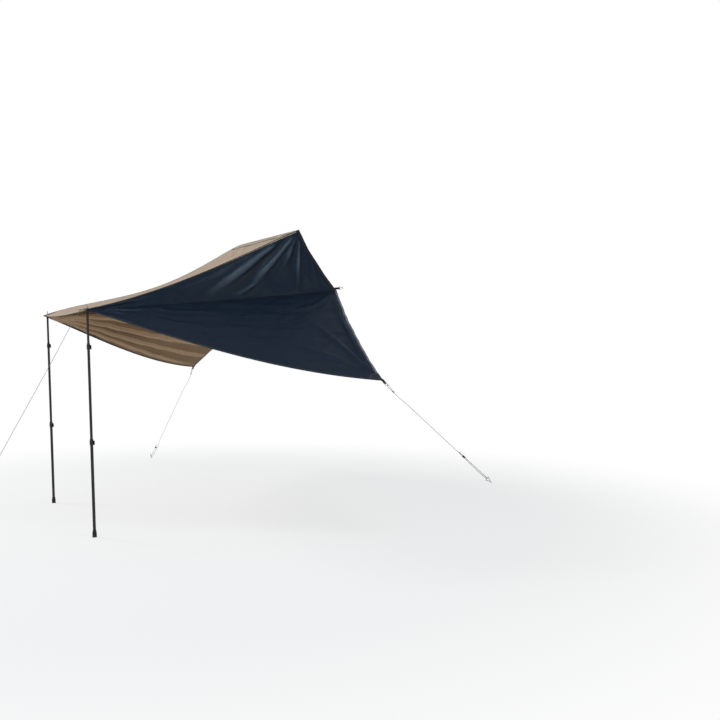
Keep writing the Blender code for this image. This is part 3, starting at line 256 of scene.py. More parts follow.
def webbing_finish(name, base, light, roughness, rows, thread, band=None):
    """Woven webbing: diagonal ribs along its length and stitches in rows at these widths."""
    dark = max(base) < 0.08
    sheen, shine = (0.03, 0.18) if dark else (0.2, 0.4)
    finish = Finish(name, Sheen_Weight=sheen, Sheen_Roughness=0.5, Specular_IOR_Level=shine)
    flat = finish.flat_place()
    along, across = finish.number(flat, 0), finish.number(flat, 1)
    tilt = abs(across % RIB_ROW - RIB_ROW / 2.0) * (math.tau / RIB_PITCH)
    rib = (along * (math.tau / RIB_PITCH) + tilt).sine() * 0.5 + 0.5
    weave = rib * 0.75 + ((across * (math.tau / CROSS_PITCH)).sine() * 0.5 + 0.5) * 0.25
    worn = finish.noise(flat, 38.0, 3.0, 0.6)
    fuzz = finish.noise(flat, 1400.0, 1.0)
    layers = [(weave * 0.55 + fuzz * 0.30, base), (worn.step(0.45, 0.75) * 0.45, light)]
    # A band is a dark line of painted shadow along the webbing.
    if band:
        first, last = (across.step(place - 0.0008, place + 0.0008) for place in band[:2])
        layers.append((first * (1.0 - last) * 0.94, band[2]))
    beat = along % STITCH_PITCH * (1.0 / STITCH_PITCH)
    span = beat.step(0.05, 0.16) * (1.0 - beat.step(0.78, 0.90))
    line = None
    for row in rows:
        near = 1.0 - abs(across - row).step(0.00030, 0.00052)
        line = near if line is None else line.most(near)
    stitch, dent = line * span, line * (1.0 - span)
    layers += [(dent * 0.55, shade(base, 0.22)), (stitch, thread)]
    normal = finish.bumps(
        (weave, 0.00022, 0.8), (finish.noise(flat, 160.0, 2.0), 0.0004, 0.35),
        (stitch - dent * 0.8, 0.0004, 0.9),
    )
    colour = finish.coats(shade(base, 0.55), *layers)
    return finish.paint(colour, worn * 0.12 + roughness - weave * 0.06, normal)


def rope_finish():
    """Braided guy rope: two families of strands over one another, with a dark tracer."""
    finish = Finish("guy_rope", Sheen_Weight=0.25, Sheen_Roughness=0.4)
    flat = finish.flat_place()
    lead, angle = finish.number(flat, 0) * (math.tau / 0.0105), finish.number(flat, 1) * (1.0 / ROPE_RADIUS)
    left, right = (angle * 4.0 + lead * 2.0).sine(), (angle * 4.0 - lead * 2.0).sine()
    over = (left * 0.5 + 0.5).most(right * 0.5 + 0.5)
    tracer = (angle + lead * 0.5).sine().step(0.86, 0.95) * right.step(0.0, 0.3)
    dirt = finish.noise(flat, 2.0, 3.0, 0.6, stretch=(6.0, 60.0, 1.0))
    colour = finish.coats(
        (0.075, 0.075, 0.070), (over.step(0.2, 0.9), (0.220, 0.217, 0.200)),
        (tracer * 0.75, (0.030, 0.033, 0.040)),
        (dirt.step(0.45, 0.8) * 0.45, (0.26, 0.24, 0.205)),
    )
    normal = finish.bumps((over, 0.00035, 0.9), (finish.noise(flat, 2600.0, 1.0), 0.0001, 0.3))
    return finish.paint(colour, (1.0 - over.step(0.35, 0.95)) * 0.15 + 0.62, normal)


def plastic_finish():
    """Moulded black nylon: fine sparked grain, rubbed a little lighter in places."""
    finish = Finish("moulded_nylon")
    place = finish.place()
    rub = finish.noise(place, 45.0, 4.0, 0.65)
    specks = finish.noise(place, 420.0, 1.0).step(0.68, 0.80)
    rubbed = (rub.step(0.45, 0.78) * 0.5, (0.034, 0.035, 0.037))
    colour = finish.coats((0.0125, 0.0130, 0.0140), rubbed, (specks * 0.25, (0.075, 0.073, 0.068)))
    normal = finish.bumps((finish.noise(place, 1500.0, 2.0, 0.6), 0.00007, 0.5))
    return finish.paint(colour, rub * 0.18 + 0.38 + specks * 0.10, normal)


def coated_finish():
    """Black powder coat on aluminium tube: orange peel, rub marks along the length and scuffs."""
    finish = Finish("powder_coated_tube")
    place = finish.place()
    drawn = finish.noise(place, 1.0, 3.0, 0.6, stretch=(240.0, 240.0, 3.0))
    marks = finish.noise(place, 1.0, 2.0, 0.7, 0.5, stretch=(30.0, 30.0, 160.0)).step(0.66, 0.76)
    dust = finish.noise(place, 8.0, 4.0, 0.6)
    colour = finish.coats(
        (0.0105, 0.0108, 0.0115), (dust.step(0.40, 0.75) * 0.6, (0.030, 0.030, 0.030)),
        (drawn.step(0.60, 0.75) * 0.35, (0.052, 0.052, 0.053)), (marks * 0.22, (0.11, 0.11, 0.11)),
    )
    normal = finish.bumps((finish.noise(place, 620.0, 2.0, 0.55), 0.00006, 0.5), (marks, 0.00004, 0.4))
    return finish.paint(colour, dust * 0.16 + 0.30 + marks * 0.12, normal)


def metal_finish(name, base, dull, scale, roughness):
    """Plated or drawn metal with a cloudy surface, fine lines and small dark pits."""
    finish = Finish(name, Metallic=1.0)
    place = finish.place()
    cloud = finish.noise(place, scale, 4.0, 0.6)
    lines = finish.noise(place, 1.0, 2.0, stretch=(900.0, 900.0, 120.0))
    pits = finish.noise(place, 900.0, 1.0).step(0.70, 0.78)
    colour = finish.coats(base, (cloud.step(0.35, 0.75), dull), (pits * 0.5, shade(base, 0.35)))
    normal = finish.bumps((lines, 0.00003, 0.5), (1.0 - pits, 0.00006, 0.5))
    return finish.paint(colour, cloud * 0.22 + roughness + pits * 0.2, normal)


def rubber_finish():
    """Black rubber with a matt bloom and dust round the sole."""
    finish = Finish("foot_rubber")
    place = finish.place()
    bloom = finish.noise(place, 60.0, 4.0, 0.65)
    low = 1.0 - finish.number(place, 2).step(GROUND + 0.002, GROUND + 0.024)
    dirt = low * finish.noise(place, 160.0, 3.0, 0.6).step(0.35, 0.65)
    bloomed = (bloom.step(0.4, 0.75) * 0.6, (0.030, 0.029, 0.028))
    colour = finish.coats((0.0100, 0.0100, 0.0105), bloomed, (dirt * 0.7, (0.115, 0.098, 0.078)))
    normal = finish.bumps((finish.noise(place, 800.0, 2.0), 0.00012, 0.5))
    return finish.paint(colour, bloom * 0.12 + 0.66, normal)


def thread_finish(name, base):
    """Twisted thread."""
    finish = Finish(name, Sheen_Weight=0.3)
    twist = finish.noise(finish.place(), 1800.0, 1.0, stretch=(1.0, 1.0, 3.0))
    colour = finish.coats(shade(base, 0.6), (twist, base))
    return finish.paint(colour, twist * 0.1 + 0.6, finish.bumps((twist, 0.0001, 0.5)))


# Cloths: base, dusty and worn colours, roughness, sheen and shine, and the painted light on crests and in
# hollows (painted highlights and painted shade, and on the navy a painted warm reflection in the hollows)
CLOTHS = {
    "navy": ("navy_polyester", (0.0052, 0.0128, 0.0285), (0.0080, 0.0148, 0.0280), (0.0074, 0.0144, 0.0290),
             0.46, 0.0, 0.27, (0.088, 0.112, 0.150), (0.021, 0.017, 0.016)),
    "tan": ("tan_polyester", (0.520, 0.385, 0.275), (0.42, 0.310, 0.220), (0.56, 0.43, 0.32),
            0.60, 0.04, 0.30, (0.60, 0.48, 0.37), (0.19, 0.130, 0.088)),
    # The tan inside is the roof's tan cloth drawn darker and browner as painted shade.
    "tan_inside_painted_shade": ("tan_polyester_inside_painted_shade", (0.262, 0.160, 0.081), (0.200, 0.118, 0.057),
                  (0.310, 0.196, 0.104), 0.64, 0.0, 0.25, (0.085, 0.050, 0.025), (0.62, 0.43, 0.27)),
    # Darker again as painted shade for the underside of the roof and the upper wings' inside.
    "tan_inside_deep_painted_shade": ("tan_polyester_deep_painted_shade", (0.205, 0.126, 0.067), (0.164, 0.098, 0.049),
                     (0.240, 0.153, 0.082), 0.64, 0.0, 0.2, (0.090, 0.054, 0.028), (0.26, 0.170, 0.100)),
}
# Webbings: base and light colours, roughness, rows of stitches, thread, and the edges and colour of a dark
# band of painted shadow
WEBBINGS = {
    "tan_webbing": ("tan_binding", (0.60, 0.475, 0.355), (0.68, 0.56, 0.44), 0.60,
                    (-0.0135, -0.0085, 0.0085, 0.0135, 0.0035, 0.0185), (0.62, 0.55, 0.46)),
    "navy_webbing": ("navy_binding", (0.026, 0.033, 0.045), (0.055, 0.063, 0.078), 0.55,
                     (-0.0058, 0.0058, 0.0034, 0.0184), (0.16, 0.17, 0.19)),
    "dark_webbing": ("black_strap", (0.016, 0.017, 0.020), (0.045, 0.046, 0.050), 0.55,
                     (-0.0082, 0.0082, 0.0125, 0.0375), (0.10, 0.10, 0.105)),
    # The ridge binding's dark band is a painted shadow along the roof's edge.
    "ridge_webbing": ("ridge_binding", (0.66, 0.58, 0.50), (0.74, 0.67, 0.59), 0.60, (0.0105, 0.0235),
                      (0.70, 0.64, 0.56), (-0.0125, 0.0075, (0.045, 0.031, 0.025))),
    "seam_webbing": ("seam_binding", (0.007, 0.010, 0.016), (0.013, 0.018, 0.027), 0.6, (0.0058,),
                     (0.015, 0.020, 0.029)),
    # The navy band's dark line is a painted shadow beside the wing.
    "navy_band": ("navy_band", (0.018, 0.024, 0.036), (0.034, 0.042, 0.058), 0.55, (0.0034, 0.0300),
                  (0.05, 0.06, 0.08), (0.0335, 0.0450, (0.004, 0.004, 0.006))),
    # The lower side hem is navy binding drawn light grey as a painted highlight along the free edge.
    "navy_hem_painted_highlight": ("grey_binding", (0.190, 0.200, 0.215), (0.260, 0.270, 0.285), 0.55, (0.0034, 0.0184),
                     (0.26, 0.27, 0.29)),
    # The cross seam's tape is drawn dark brown as painted shade along the seam's stitched folds.
    "brown_tape": ("brown_tape", (0.120, 0.082, 0.056), (0.22, 0.155, 0.11), 0.60, (-0.0075, 0.0075),
                   (0.10, 0.07, 0.05)),
}
FINISHES = {name: canopy_cloth(*values) for name, values in CLOTHS.items()}
FINISHES |= {name: webbing_finish(*values) for name, values in WEBBINGS.items()}
FINISHES |= {
    "thread": thread_finish("sewing_thread", (0.36, 0.35, 0.33)),
    "rope": rope_finish(),
    "twine": thread_finish("whipping_twine", (0.055, 0.056, 0.060)),
    "steel": metal_finish("zinc_plated_steel", (0.56, 0.56, 0.555), (0.40, 0.40, 0.385), 140.0, 0.24),
    "brass": metal_finish("spun_brass", (0.62, 0.43, 0.185), (0.36, 0.235, 0.105), 220.0, 0.26),
    "pole_metal": coated_finish(),
    "plastic": plastic_finish(),
    "rubber": rubber_finish(),
}

# The canopy's shape


def corner(place, side):
    """A corner of the canopy on one side."""
    return np.array(place) * (SIGNS[side], 1.0, 1.0)


def edge_line(side, name, shares):
    """Points on a hanging edge, at shares of the way from its pole corner."""
    depth, first, last = SAGS[name][side]
    shares = np.clip(np.asarray(shares, dtype=float), 0.0, 1.0)
    low = first / (first + last)
    drop = depth * (shares / low) ** first * ((1.0 - shares) / (1.0 - low)) ** last
    start, end = corner(POLE_CORNER, side), corner(ENDS[name], side)
    return start + (end - start) * shares[..., None] - UP * drop[..., None]


def hang(share):
    """0 at both ends and 1 in the middle."""
    return 4.0 * share * (1.0 - share)


def smooth(values, low, high):
    """0 under low, 1 over high and smooth between them."""
    share = np.clip((values - low) / (high - low), 0.0, 1.0)
    return share * share * (3.0 - 2.0 * share)


def wing_panel(side, part, along, across):
    """A wing panel without its folds, its free edge cut in a shallow curve."""
    top, low, scallop = PANELS[part]
    along = along * (1.0 - scallop * hang(across))
    start, end = edge_line(side, top, along), edge_line(side, low, along)
    return start + (end - start) * across[..., None]


def roof_panel(along, across):
    """The roof without its folds."""
    start, end = edge_line("far", "ridge", along), edge_line("near", "ridge", along)
    sag = FRONT_SAG * (1.0 - along) ** 2 + ROOF_SAG * hang(along)
    return start + (end - start) * across[..., None] - UP * (sag * hang(across))[..., None]


def wing_outward(side, part):
    """The outward direction of a wing panel."""
    tip = corner(HEADER_END if part == "upper" else LOW_CORNER, side)
    start = corner(POLE_CORNER, side)
    normal = unit(np.cross(corner(SIDE_POINT, side) - start, tip - start))
    return normal if normal[0] * SIGNS[side] > 0.0 else -normal


# Folds: a crest's places along and across its panel in thousandths, its half width and height in
# millimetres and how straight it runs
FOLDS = {
    ("near", "upper"): [
        ((985, 20, 900, 133, 775, 400, 713, 520, 588, 917), 34, 26, 0.7),
        ((985, 50, 925, 217, 875, 383, 800, 550), 26, 18, 0.7),
        ((985, 70, 963, 233, 913, 467, 863, 733, 825, 950), 26, 20, 0.5),
        ((990, 150, 950, 517, 888, 917), 20, 9, 0.3),
        ((990, 220, 972, 583, 938, 900), 18, 8, 0.3),
        ((900, 30, 800, 133, 725, 220, 625, 433, 513, 633, 400, 860), 40, 28, 0.6),
        ((800, 40, 660, 150, 500, 340, 300, 600), 34, 14, 0.5),
        ((700, 620, 588, 850, 513, 1000), 22, 9, 0.3),
    ],
    ("near", "lower"): [
        ((990, 995, 985, 720, 980, 450, 980, 120, 985, 0), 30, 20),
        ((990, 980, 955, 757, 900, 541, 820, 300), 32, 17),
        ((980, 960, 857, 775, 700, 620), 36, 10),
        ((20, 500, 120, 720, 300, 860, 550, 930), 24, 10),
        ((20, 300, 160, 460, 380, 580, 600, 660), 30, 9),
        ((20, 100, 200, 160, 420, 240, 620, 300), 28, 9),
        ((980, 20, 880, 160, 760, 240), 24, 10),
    ],
    ("far", "upper"): [
        ((60, 350, 300, 420, 600, 450, 900, 500), 34, 16),
        ((980, 80, 800, 300, 550, 750, 450, 1000), 30, 14),
        ((970, 700, 800, 800, 600, 950), 24, 12),
    ],
    ("far", "lower"): [
        ((30, 250, 77, 304, 342, 493, 615, 571, 889, 623, 1000, 640), 40, -29),
        ((30, 540, 84, 564, 375, 724, 668, 753, 953, 813, 1000, 820), 36, -26),
        ((30, 770, 91, 787, 400, 877, 726, 920, 993, 970), 28, -20),
        ((50, 100, 300, 240, 600, 330, 950, 360), 45, -17),
        ((980, 40, 840, 160, 660, 220), 26, 12),
    ],
}
ROOF_FOLDS = [
    ((30, 960, 250, 880, 500, 840, 800, 860), 45, 7),
    ((30, 40, 250, 120, 500, 160, 800, 140), 45, 7),
    ((950, 250, 900, 370, 838, 500, 740, 620), 24, 10),
    ((963, 100, 913, 167, 863, 200, 700, 260), 24, 10),
    ((940, 550, 840, 660, 700, 740), 24, 9),
    ((930, 800, 800, 860, 620, 900), 24, 8),
    ((980, 968, 800, 965, 620, 968, 450, 972, 250, 972), 30, -20),
    ((920, 925, 700, 920, 500, 930, 200, 940), 22, 10),
    ((300, 500, 550, 470, 800, 520), 60, 4),
]
# Tension folds: their corner, the two directions between which they spread, how many, height and reach
FANS = {
    "upper": [
        (HEADER_END, POLE_CORNER, SIDE_POINT, 5.0, 0.0045, 0.60),
        (POLE_CORNER, HEADER_END, SIDE_POINT, 2.0, 0.0040, 0.80),
    ],
    "lower": [
        (POLE_CORNER, LOW_CORNER, SIDE_POINT, 3.5, 0.0050, 0.85),
        (LOW_CORNER, POLE_CORNER, SIDE_POINT, 4.5, 0.0045, 0.60),
        (SIDE_POINT, POLE_CORNER, LOW_CORNER, 4.0, 0.0040, 0.45),
    ],
}
# The lift at which a fold's painted highlight and shade are full, and the seeds of the small waves
ROOF_FULL_PAINTED_LIGHT = 0.009
FULL_PAINTED_LIGHT = {("near", "upper"): 0.020, ("far", "upper"): 0.020, ("near", "lower"): 0.034, ("far", "lower"): 0.015}
ROOF_SEED, SEEDS = 37, {"near": 11, "far": 23}
WAVES = ((0.34, 0.0026), (0.23, 0.0018), (0.15, 0.0012), (0.10, 0.0007), (0.062, 0.0004))
CREST_POINTS = 61


def crest_height(surface, points, outward, crest, width, height, straight=0.0):
    """How far one fold lifts each point: it grows from its first end, steep on one side, and fades."""
    spots = np.reshape(crest, (-1, 2)) / 1000.0
    shares = np.linspace(0.0, len(spots) - 1.0, CREST_POINTS)
    spots = np.stack([np.interp(shares, range(len(spots)), spots[:, axis]) for axis in (0, 1)], axis=1)
    for _ in range(30):
        spots[1:-1] = (spots[:-2] + spots[1:-1] + spots[2:]) / 3.0
    line = surface(*spots.T)
    chord = line[0] + (line[-1] - line[0]) * np.linspace(0.0, 1.0, CREST_POINTS)[:, None]
    line = line + straight * (chord - line)
    line, points = line - np.outer(line @ outward, outward), points - (points @ outward)[..., None] * outward
    gaps, run = np.full(points.shape[:-1], 9.0), np.zeros(points.shape[:-1])
    for index, (first, last) in enumerate(zip(line, line[1:])):
        way = last - first
        share = np.clip((points - first) @ way / (way @ way), 0.0, 1.0)
        offset = points - first - share[..., None] * way
        gap = np.linalg.norm(offset, axis=-1) * np.sign(offset @ np.cross(outward, way) + 1e-12)
        closer = np.abs(gap) < np.abs(gaps)
        run = np.where(closer, (index + share) / (CREST_POINTS - 1.0), run)
        gaps = np.where(closer, gap, gaps)
    reach = gaps / (width / 1000.0 * (0.45 + 0.75 * run))
    fading = 1.0 - 0.85 * smooth(run, 0.45, 1.0)
    swell = smooth(run, -0.02, 0.22) * fading * (0.9 + 0.1 * np.sin(run * 17.0))
    steep = np.where(reach < 0.0, reach / 0.75, reach / 1.35)
    shape = np.exp(-(steep**2)) - 0.22 * np.exp(-(((np.abs(reach) - 2.3) / 1.1) ** 2))
    return height / 1000.0 * swell * shape


def ripple(points, seed):
    """Small uneven waves over a panel, in metres."""
    total = np.zeros(points.shape[:-1])
    chance = np.random.default_rng(seed)
    for length, height in WAVES:
        for _ in range(2):
            direction = chance.normal(size=3)
            direction *= math.tau / length / np.linalg.norm(direction)
            total += height * np.sin(points @ direction + chance.uniform(0.0, math.tau))
    return total


def fan(points, origin, toward, away, count, height, fade):
    """Tension folds that spread from a corner between two directions and fade out."""
    first, last = unit(toward - origin), unit(away - origin)
    offset = points - origin
    reach = np.linalg.norm(offset, axis=-1) + 1e-6
    angle = np.arccos(np.clip((offset @ first) / reach, -1.0, 1.0)) / math.acos(float(first @ last))
    wave = np.sin(math.tau * count * angle) * (0.6 + 0.4 * np.cos(math.tau * 1.5 * angle))
    return height * wave * smooth(reach, 0.05, 0.22) * (1.0 - smooth(reach, fade * 0.4, fade))


def build_grid():
    """The canopy's middle surface as one grid of points, and how folded it is at each, which sets the
    cloth's painted highlights and shade.
    """
    rows = 1.0 - (1.0 - np.linspace(0.0, 1.0, ROWS + 1)) ** ROW_POWER
    grid, marks = np.zeros((ROWS + 1, WIDTH + 1, 3)), np.zeros((ROWS + 1, WIDTH + 1))
    for side, part in [(side, part) for side in SIGNS for part in ("lower", "upper")]:
        low, high = (0, SEAM) if part == "lower" else (SEAM, RIDGE)
        along, across = np.meshgrid(rows, 1.0 - np.arange(high - low + 1) / (high - low), indexing="ij")

        def surface(first, second):
            return wing_panel(side, part, first, second)

        points, outside = surface(along, across), wing_outward(side, part)
        lift = sum(crest_height(surface, points, outside, *fold) for fold in FOLDS[side, part])
        columns = np.arange(low, high + 1)
        columns = columns if side == "far" else WIDTH - columns
        # These marks set where the cloth's painted highlights and shade fall.
        marks[:, columns] = np.clip(lift / FULL_PAINTED_LIGHT[side, part], -1.0, 1.0)
        for *places, count, height, fade in FANS[part]:
            lift = lift + fan(points, *(corner(place, side) for place in places), count, height, fade)
        lift = lift + ripple(points, SEEDS[side])
        window = smooth(np.minimum(across, 1.0 - across), 0.0, 0.07) * smooth(along, 0.0, 0.06)
        window = (window if part == "lower" else 0.25 + 0.75 * window) * smooth(along, 0.0, 0.10)
        if (side, part) == ("far", "lower"):
            window = window * (1.0 - 0.75 * smooth(along, 0.86, 0.99))
        grid[:, columns] = points + outside * (lift * window)[..., None]
    across = np.linspace(0.0, 1.0, WIDTH + 1 - 2 * RIDGE)
    along, across = np.meshgrid(rows, across - 0.5 * np.sin(math.tau * across) / math.tau, indexing="ij")
    points, columns = roof_panel(along, across), slice(RIDGE, WIDTH + 1 - RIDGE)
    lift = sum(crest_height(roof_panel, points, UP, *fold) for fold in ROOF_FOLDS)
    marks[:, columns] = np.clip(lift / ROOF_FULL_PAINTED_LIGHT, -1.0, 1.0)
    lift = lift + ripple(points, ROOF_SEED)
    window = smooth(np.minimum(across, 1.0 - across), 0.0, 0.05)
    window = window * smooth(np.minimum(along, 1.0 - along), 0.0, 0.05)
    grid[:, columns] = points + UP * (lift * window)[..., None]
    return grid, marks


def grid_normals():
    """The upward and outward normals of the canopy's grid."""
    along, across = np.gradient(grid, axis=0), np.gradient(grid, axis=1)
    across[:3] = np.where(np.linalg.norm(across[:3], axis=2, keepdims=True) < 0.0005, across[3], across[:3])
    directions = np.cross(across, along)
    return directions / np.maximum(np.linalg.norm(directions, axis=2, keepdims=True), 1e-9)


grid, marks = build_grid()
normals = grid_normals()
STEPS = np.linalg.norm(np.diff(grid, axis=0), axis=2)
RUNS = {way: np.concatenate([np.zeros((1, WIDTH + 1)), np.cumsum(STEPS[::way], axis=0)]) for way in (1, -1)}


def on_cloth(row, column):
    """The canopy's point and normal at a row and a column of its grid, which may lie between lines."""
    row, column = min(max(row, 0.0), ROWS), min(max(column, 0.0), WIDTH)
    low, left = min(int(row), ROWS - 1), min(int(column), WIDTH - 1)
    down, right = row - low, column - left
    point, normal = np.zeros(3), np.zeros(3)
    for below, beside in ((0, 0), (0, 1), (1, 0), (1, 1)):
        weight = (down if below else 1 - down) * (right if beside else 1 - right)
        point = point + weight * grid[low + below, left + beside]
        normal = normal + weight * normals[low + below, left + beside]
    return point, unit(normal)


def rows_in(spot, inset, way):
    """How many rows in from the front (way 1) or from the header (way -1) a distance reaches."""
    low = min(int(spot), WIDTH - 1)
    runs = (RUNS[way][:, column] for column in (low, low + 1))
    first, last = (float(np.interp(inset, run, range(ROWS + 1))) for run in runs)
    return first + (last - first) * (spot - low)


# Pieces made as mesh


def new_piece(name, points, faces, materials, strips, body="canopy", slots=None):
    """A mesh piece that rides on a body, with its length and width kept as a UV map."""
    mesh = bpy.data.meshes.new(name)
    mesh.from_pydata([tuple(float(part) for part in point) for point in points], [], faces)
    for material in materials:
        mesh.materials.append(material)
    if strips is not None:
        layer = mesh.uv_layers.new(name="strip")
        corners = np.zeros(len(mesh.loops), dtype=int)
        mesh.loops.foreach_get("vertex_index", corners)
        layer.data.foreach_set("uv", np.asarray(strips, dtype=float)[corners].ravel())
    if slots is not None:
        mesh.polygons.foreach_set("material_index", slots)
    mesh.shade_smooth()
    piece = add_object(name, mesh)
    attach(piece, body)
    return piece


def ring_faces(rings, size):
    """Faces between rings of points, with a face at each end."""
    faces = []
    for start in range(0, (rings - 1) * size, size):
        for spot in range(size):
            after = (spot + 1) % size
            faces.append([start + spot, start + after, start + size + after, start + size + spot])
    last = (rings - 1) * size
    return faces + [list(range(size))[::-1], [last + spot for spot in range(size)]]


def outward(piece, angle=None):
    """The piece's faces turned outwards, its sharp edges kept."""
    shape = bmesh.new()
    shape.from_mesh(piece.data)
    bmesh.ops.recalc_face_normals(shape, faces=shape.faces)
    if shape.calc_volume(signed=True) < 0.0:
        bmesh.ops.reverse_faces(shape, faces=shape.faces)
    shape.to_mesh(piece.data)
    shape.free()
    if angle is not None:
        piece.data.set_sharp_from_angle(angle=math.radians(angle))
    return piece


def lofted(name, points, strips, size, finish, angle=50.0):
    """A piece through rings of as many points each, turned outwards."""
    faces = ring_faces(len(points) // size, size)
    return outward(new_piece(name, points, faces, [FINISHES[finish]], strips), angle)


def build_canopy():
    """The whole canopy as one sheet: dark wings, tan roof, and the tan inside drawn darker as painted shade.
    """
    columns = WIDTH + 1
    faces, slots = [], []
    for row in range(ROWS):
        for column in range(WIDTH):
            start = row * columns + column
            faces.append([start, start + 1, start + columns + 1, start + columns])
            low = min(column, WIDTH - 1 - column)
            slots.append(0 if low < SEAM else 4 if low < RIDGE else 2)
    widths = np.cumsum(np.linalg.norm(np.diff(grid, axis=1), axis=2), axis=1)
    widths = np.concatenate([np.zeros((ROWS + 1, 1)), widths], axis=1)
    widths -= widths[:, WIDTH // 2 : WIDTH // 2 + 1]
    strips = np.stack([RUNS[1], widths], axis=2).reshape(-1, 2)
    # Outsides navy on the wings and tan on the roof; the insides tan drawn darker as painted shade, darkest
    # under the roof and the upper wings.
    layers = ("navy", "tan_inside_painted_shade", "tan", "tan_inside_deep_painted_shade", "navy", "tan_inside_deep_painted_shade")
    layers = [FINISHES[name] for name in layers]
    piece = new_piece("canopy_cloth", grid.reshape(-1, 3), faces, layers, strips, slots=slots)
    # The fold attribute places the cloth finishes' painted highlights and shade.
    piece.data.attributes.new("fold", "FLOAT", "POINT").data.foreach_set("value", marks.ravel())
    shape = bmesh.new()
    shape.from_mesh(piece.data)
    bmesh.ops.remove_doubles(shape, verts=shape.verts, dist=0.0009)
    shape.to_mesh(piece.data)
    shape.free()
    inside = {"offset": 0.0, "use_rim": True, "material_offset": 1, "material_offset_rim": 0}
    modify(piece, "SOLIDIFY", thickness=CLOTH_THICKNESS, **inside)
    return piece


def modify(piece, kind, **settings):
    """Add a modifier to a piece and apply it."""
    modifier = piece.modifiers.new("shape", kind)
    for key, value in settings.items():
        setattr(modifier, key, value)
    pick(piece)
    bpy.ops.object.modifier_apply(modifier=modifier.name)
    piece.select_set(False)


def pick(piece):
    """Select one piece and nothing else."""
    bpy.ops.object.select_all(action="DESELECT")
    piece.select_set(True)
    bpy.context.view_layer.objects.active = piece


# Half of a hem's cross-section: the share of its width in from the edge and the height over the cloth
HEM_PROFILE = [(1.0, 0.0007), (1.0, 0.0014), (0.93, 0.0018), (0.80, 0.0014), (0.45, 0.0017), (0.16, 0.0014)]
HEM_PROFILE += [(0.05, 0.0018), (0.0, 0.0013), (-0.03, 0.0007)]
HEM_STEP, SEAM_STEP = 0.0065, 0.008


def edge_station(kind, spot, inset):
    """The grid place of a hem at a spot on its edge and a distance in metres from it."""
    if kind == "free":
        return ROWS - rows_in(spot, inset, -1), spot
    if kind == "front":
        return rows_in(spot, inset, 1), spot
    sign, edge = (1.0, 0.0) if kind == "far" else (-1.0, float(WIDTH))
    space = np.linalg.norm(on_cloth(spot, edge)[0] - on_cloth(spot, edge + sign * 4)[0]) / 4.0
    return spot, edge + sign * min(inset / max(space, 1e-5), SEAM * 0.9)


def build_hem(name, kind, start, end, width, finish):
    """A folded and stitched hem along one edge of the canopy."""
    line = np.array([on_cloth(*edge_station(kind, spot, 0.0))[0] for spot in np.linspace(start, end, 200)])
    run = run_of(line)
    count = max(int(run[-1] / HEM_STEP), 2)
    places = np.interp(np.linspace(0.0, run[-1], count + 1), run, np.linspace(start, end, 200))
    profile = HEM_PROFILE + [(share, -height) for share, height in HEM_PROFILE[::-1]]
    points, strips = [], []
    for index, spot in enumerate(places):
        length = run[-1] * index / count
        edge, normal = on_cloth(*edge_station(kind, spot, 0.0))
        inward = unit(on_cloth(*edge_station(kind, spot, 0.008))[0] - edge)
        pucker = 1.0 + (0.16 * math.sin(length * 331.0) + 0.12 * math.sin(length * 197.0 + 1.0))
        shift = 0.0004 * math.sin(length * 142.0 + 0.4)
        for share, height in profile:
            inset = share * width
            point, up = edge + inward * inset, normal
            if inset >= 0.0:
                point, up = on_cloth(*edge_station(kind, spot, inset))
            bulge = pucker if 0.0 < share < 0.9 else 1.0
            points.append(point + up * height * bulge - inward * shift * (1.0 - share))
            strips.append((length, inset if height > 0.0 else -inset - 0.002))
    return lofted(name, points, strips, len(profile), finish)


def build_tube(name, points, radius, finish, sides, radii=None):
    """A soft round piece along a line, with its length and girth as its UV map."""
    points = np.array(points, dtype=float)
    run = run_of(points)
    tangents = np.gradient(points, axis=0)
    tangents /= np.linalg.norm(tangents, axis=1, keepdims=True)
    side = np.cross(tangents[0], UP)
    if np.linalg.norm(side) < 0.1:
        side = np.cross(tangents[0], (1.0, 0.0, 0.0))
    rings, strips = [], []
    for index, (point, tangent) in enumerate(zip(points, tangents)):
        side = unit(side - tangent * float(side @ tangent))
        rise = np.cross(side, tangent)
        size = radius * (radii[index] if radii is not None else 1.0)
        for spot in range(sides):
            angle = math.tau * spot / sides
            rings.append(point + side * size * math.cos(angle) + rise * size * math.sin(angle))
            strips.append((run[index], angle * radius))
    return lofted(name, rings, strips, sides, finish, 60.0)


def build_ribbon(name, path, width_axis, width, thickness, finish):
    """A webbing strip along a path, with thick edges and its length and width as its UV map."""
    run = run_of(path)
    tangents = np.gradient(path, axis=0)
    tangents /= np.linalg.norm(tangents, axis=1, keepdims=True)
    spots = [(-1.0, 0.35), (-0.97, 1.0), (-0.86, 1.1), (-0.80, 0.9), (-0.4, 0.95), (0.0, 0.95)]
    spots += [(-share, height) for share, height in spots[-2::-1]]
    ring = spots + [(share, -height) for share, height in spots[::-1]]
    points, strips = [], []
    for length, place, tangent in zip(run, path, tangents):
        axis = unit(width_axis - tangent * float(width_axis @ tangent))
        rise = np.cross(tangent, axis)
        for share, height in ring:
            points.append(place + axis * share * width / 2.0 + rise * height * thickness / 2.0)
            strips.append((length, share * width / 2.0))
    return lofted(name, points, strips, len(ring), finish)


# Hard pieces, shaped by hand


def edit(piece):
    """Open a piece in edit mode with everything on it selected."""
    pick(piece)
    bpy.ops.object.mode_set(mode="EDIT")
    bpy.ops.mesh.select_all(action="SELECT")


def close_edit():
    bpy.ops.object.mode_set(mode="OBJECT")


# How near points are joined on turned pieces and on bent wires, and the angle of a smooth edge
FINE_WELD, WIRE_WELD = 0.00002, 0.00005
SMOOTH_ANGLE = math.radians(32.0)


def weld(threshold):
    """Join doubled points, turn the faces outwards and close the piece."""
    bpy.ops.mesh.select_all(action="SELECT")
    bpy.ops.mesh.remove_doubles(threshold=threshold)
    bpy.ops.mesh.normals_make_consistent(inside=False)
    close_edit()


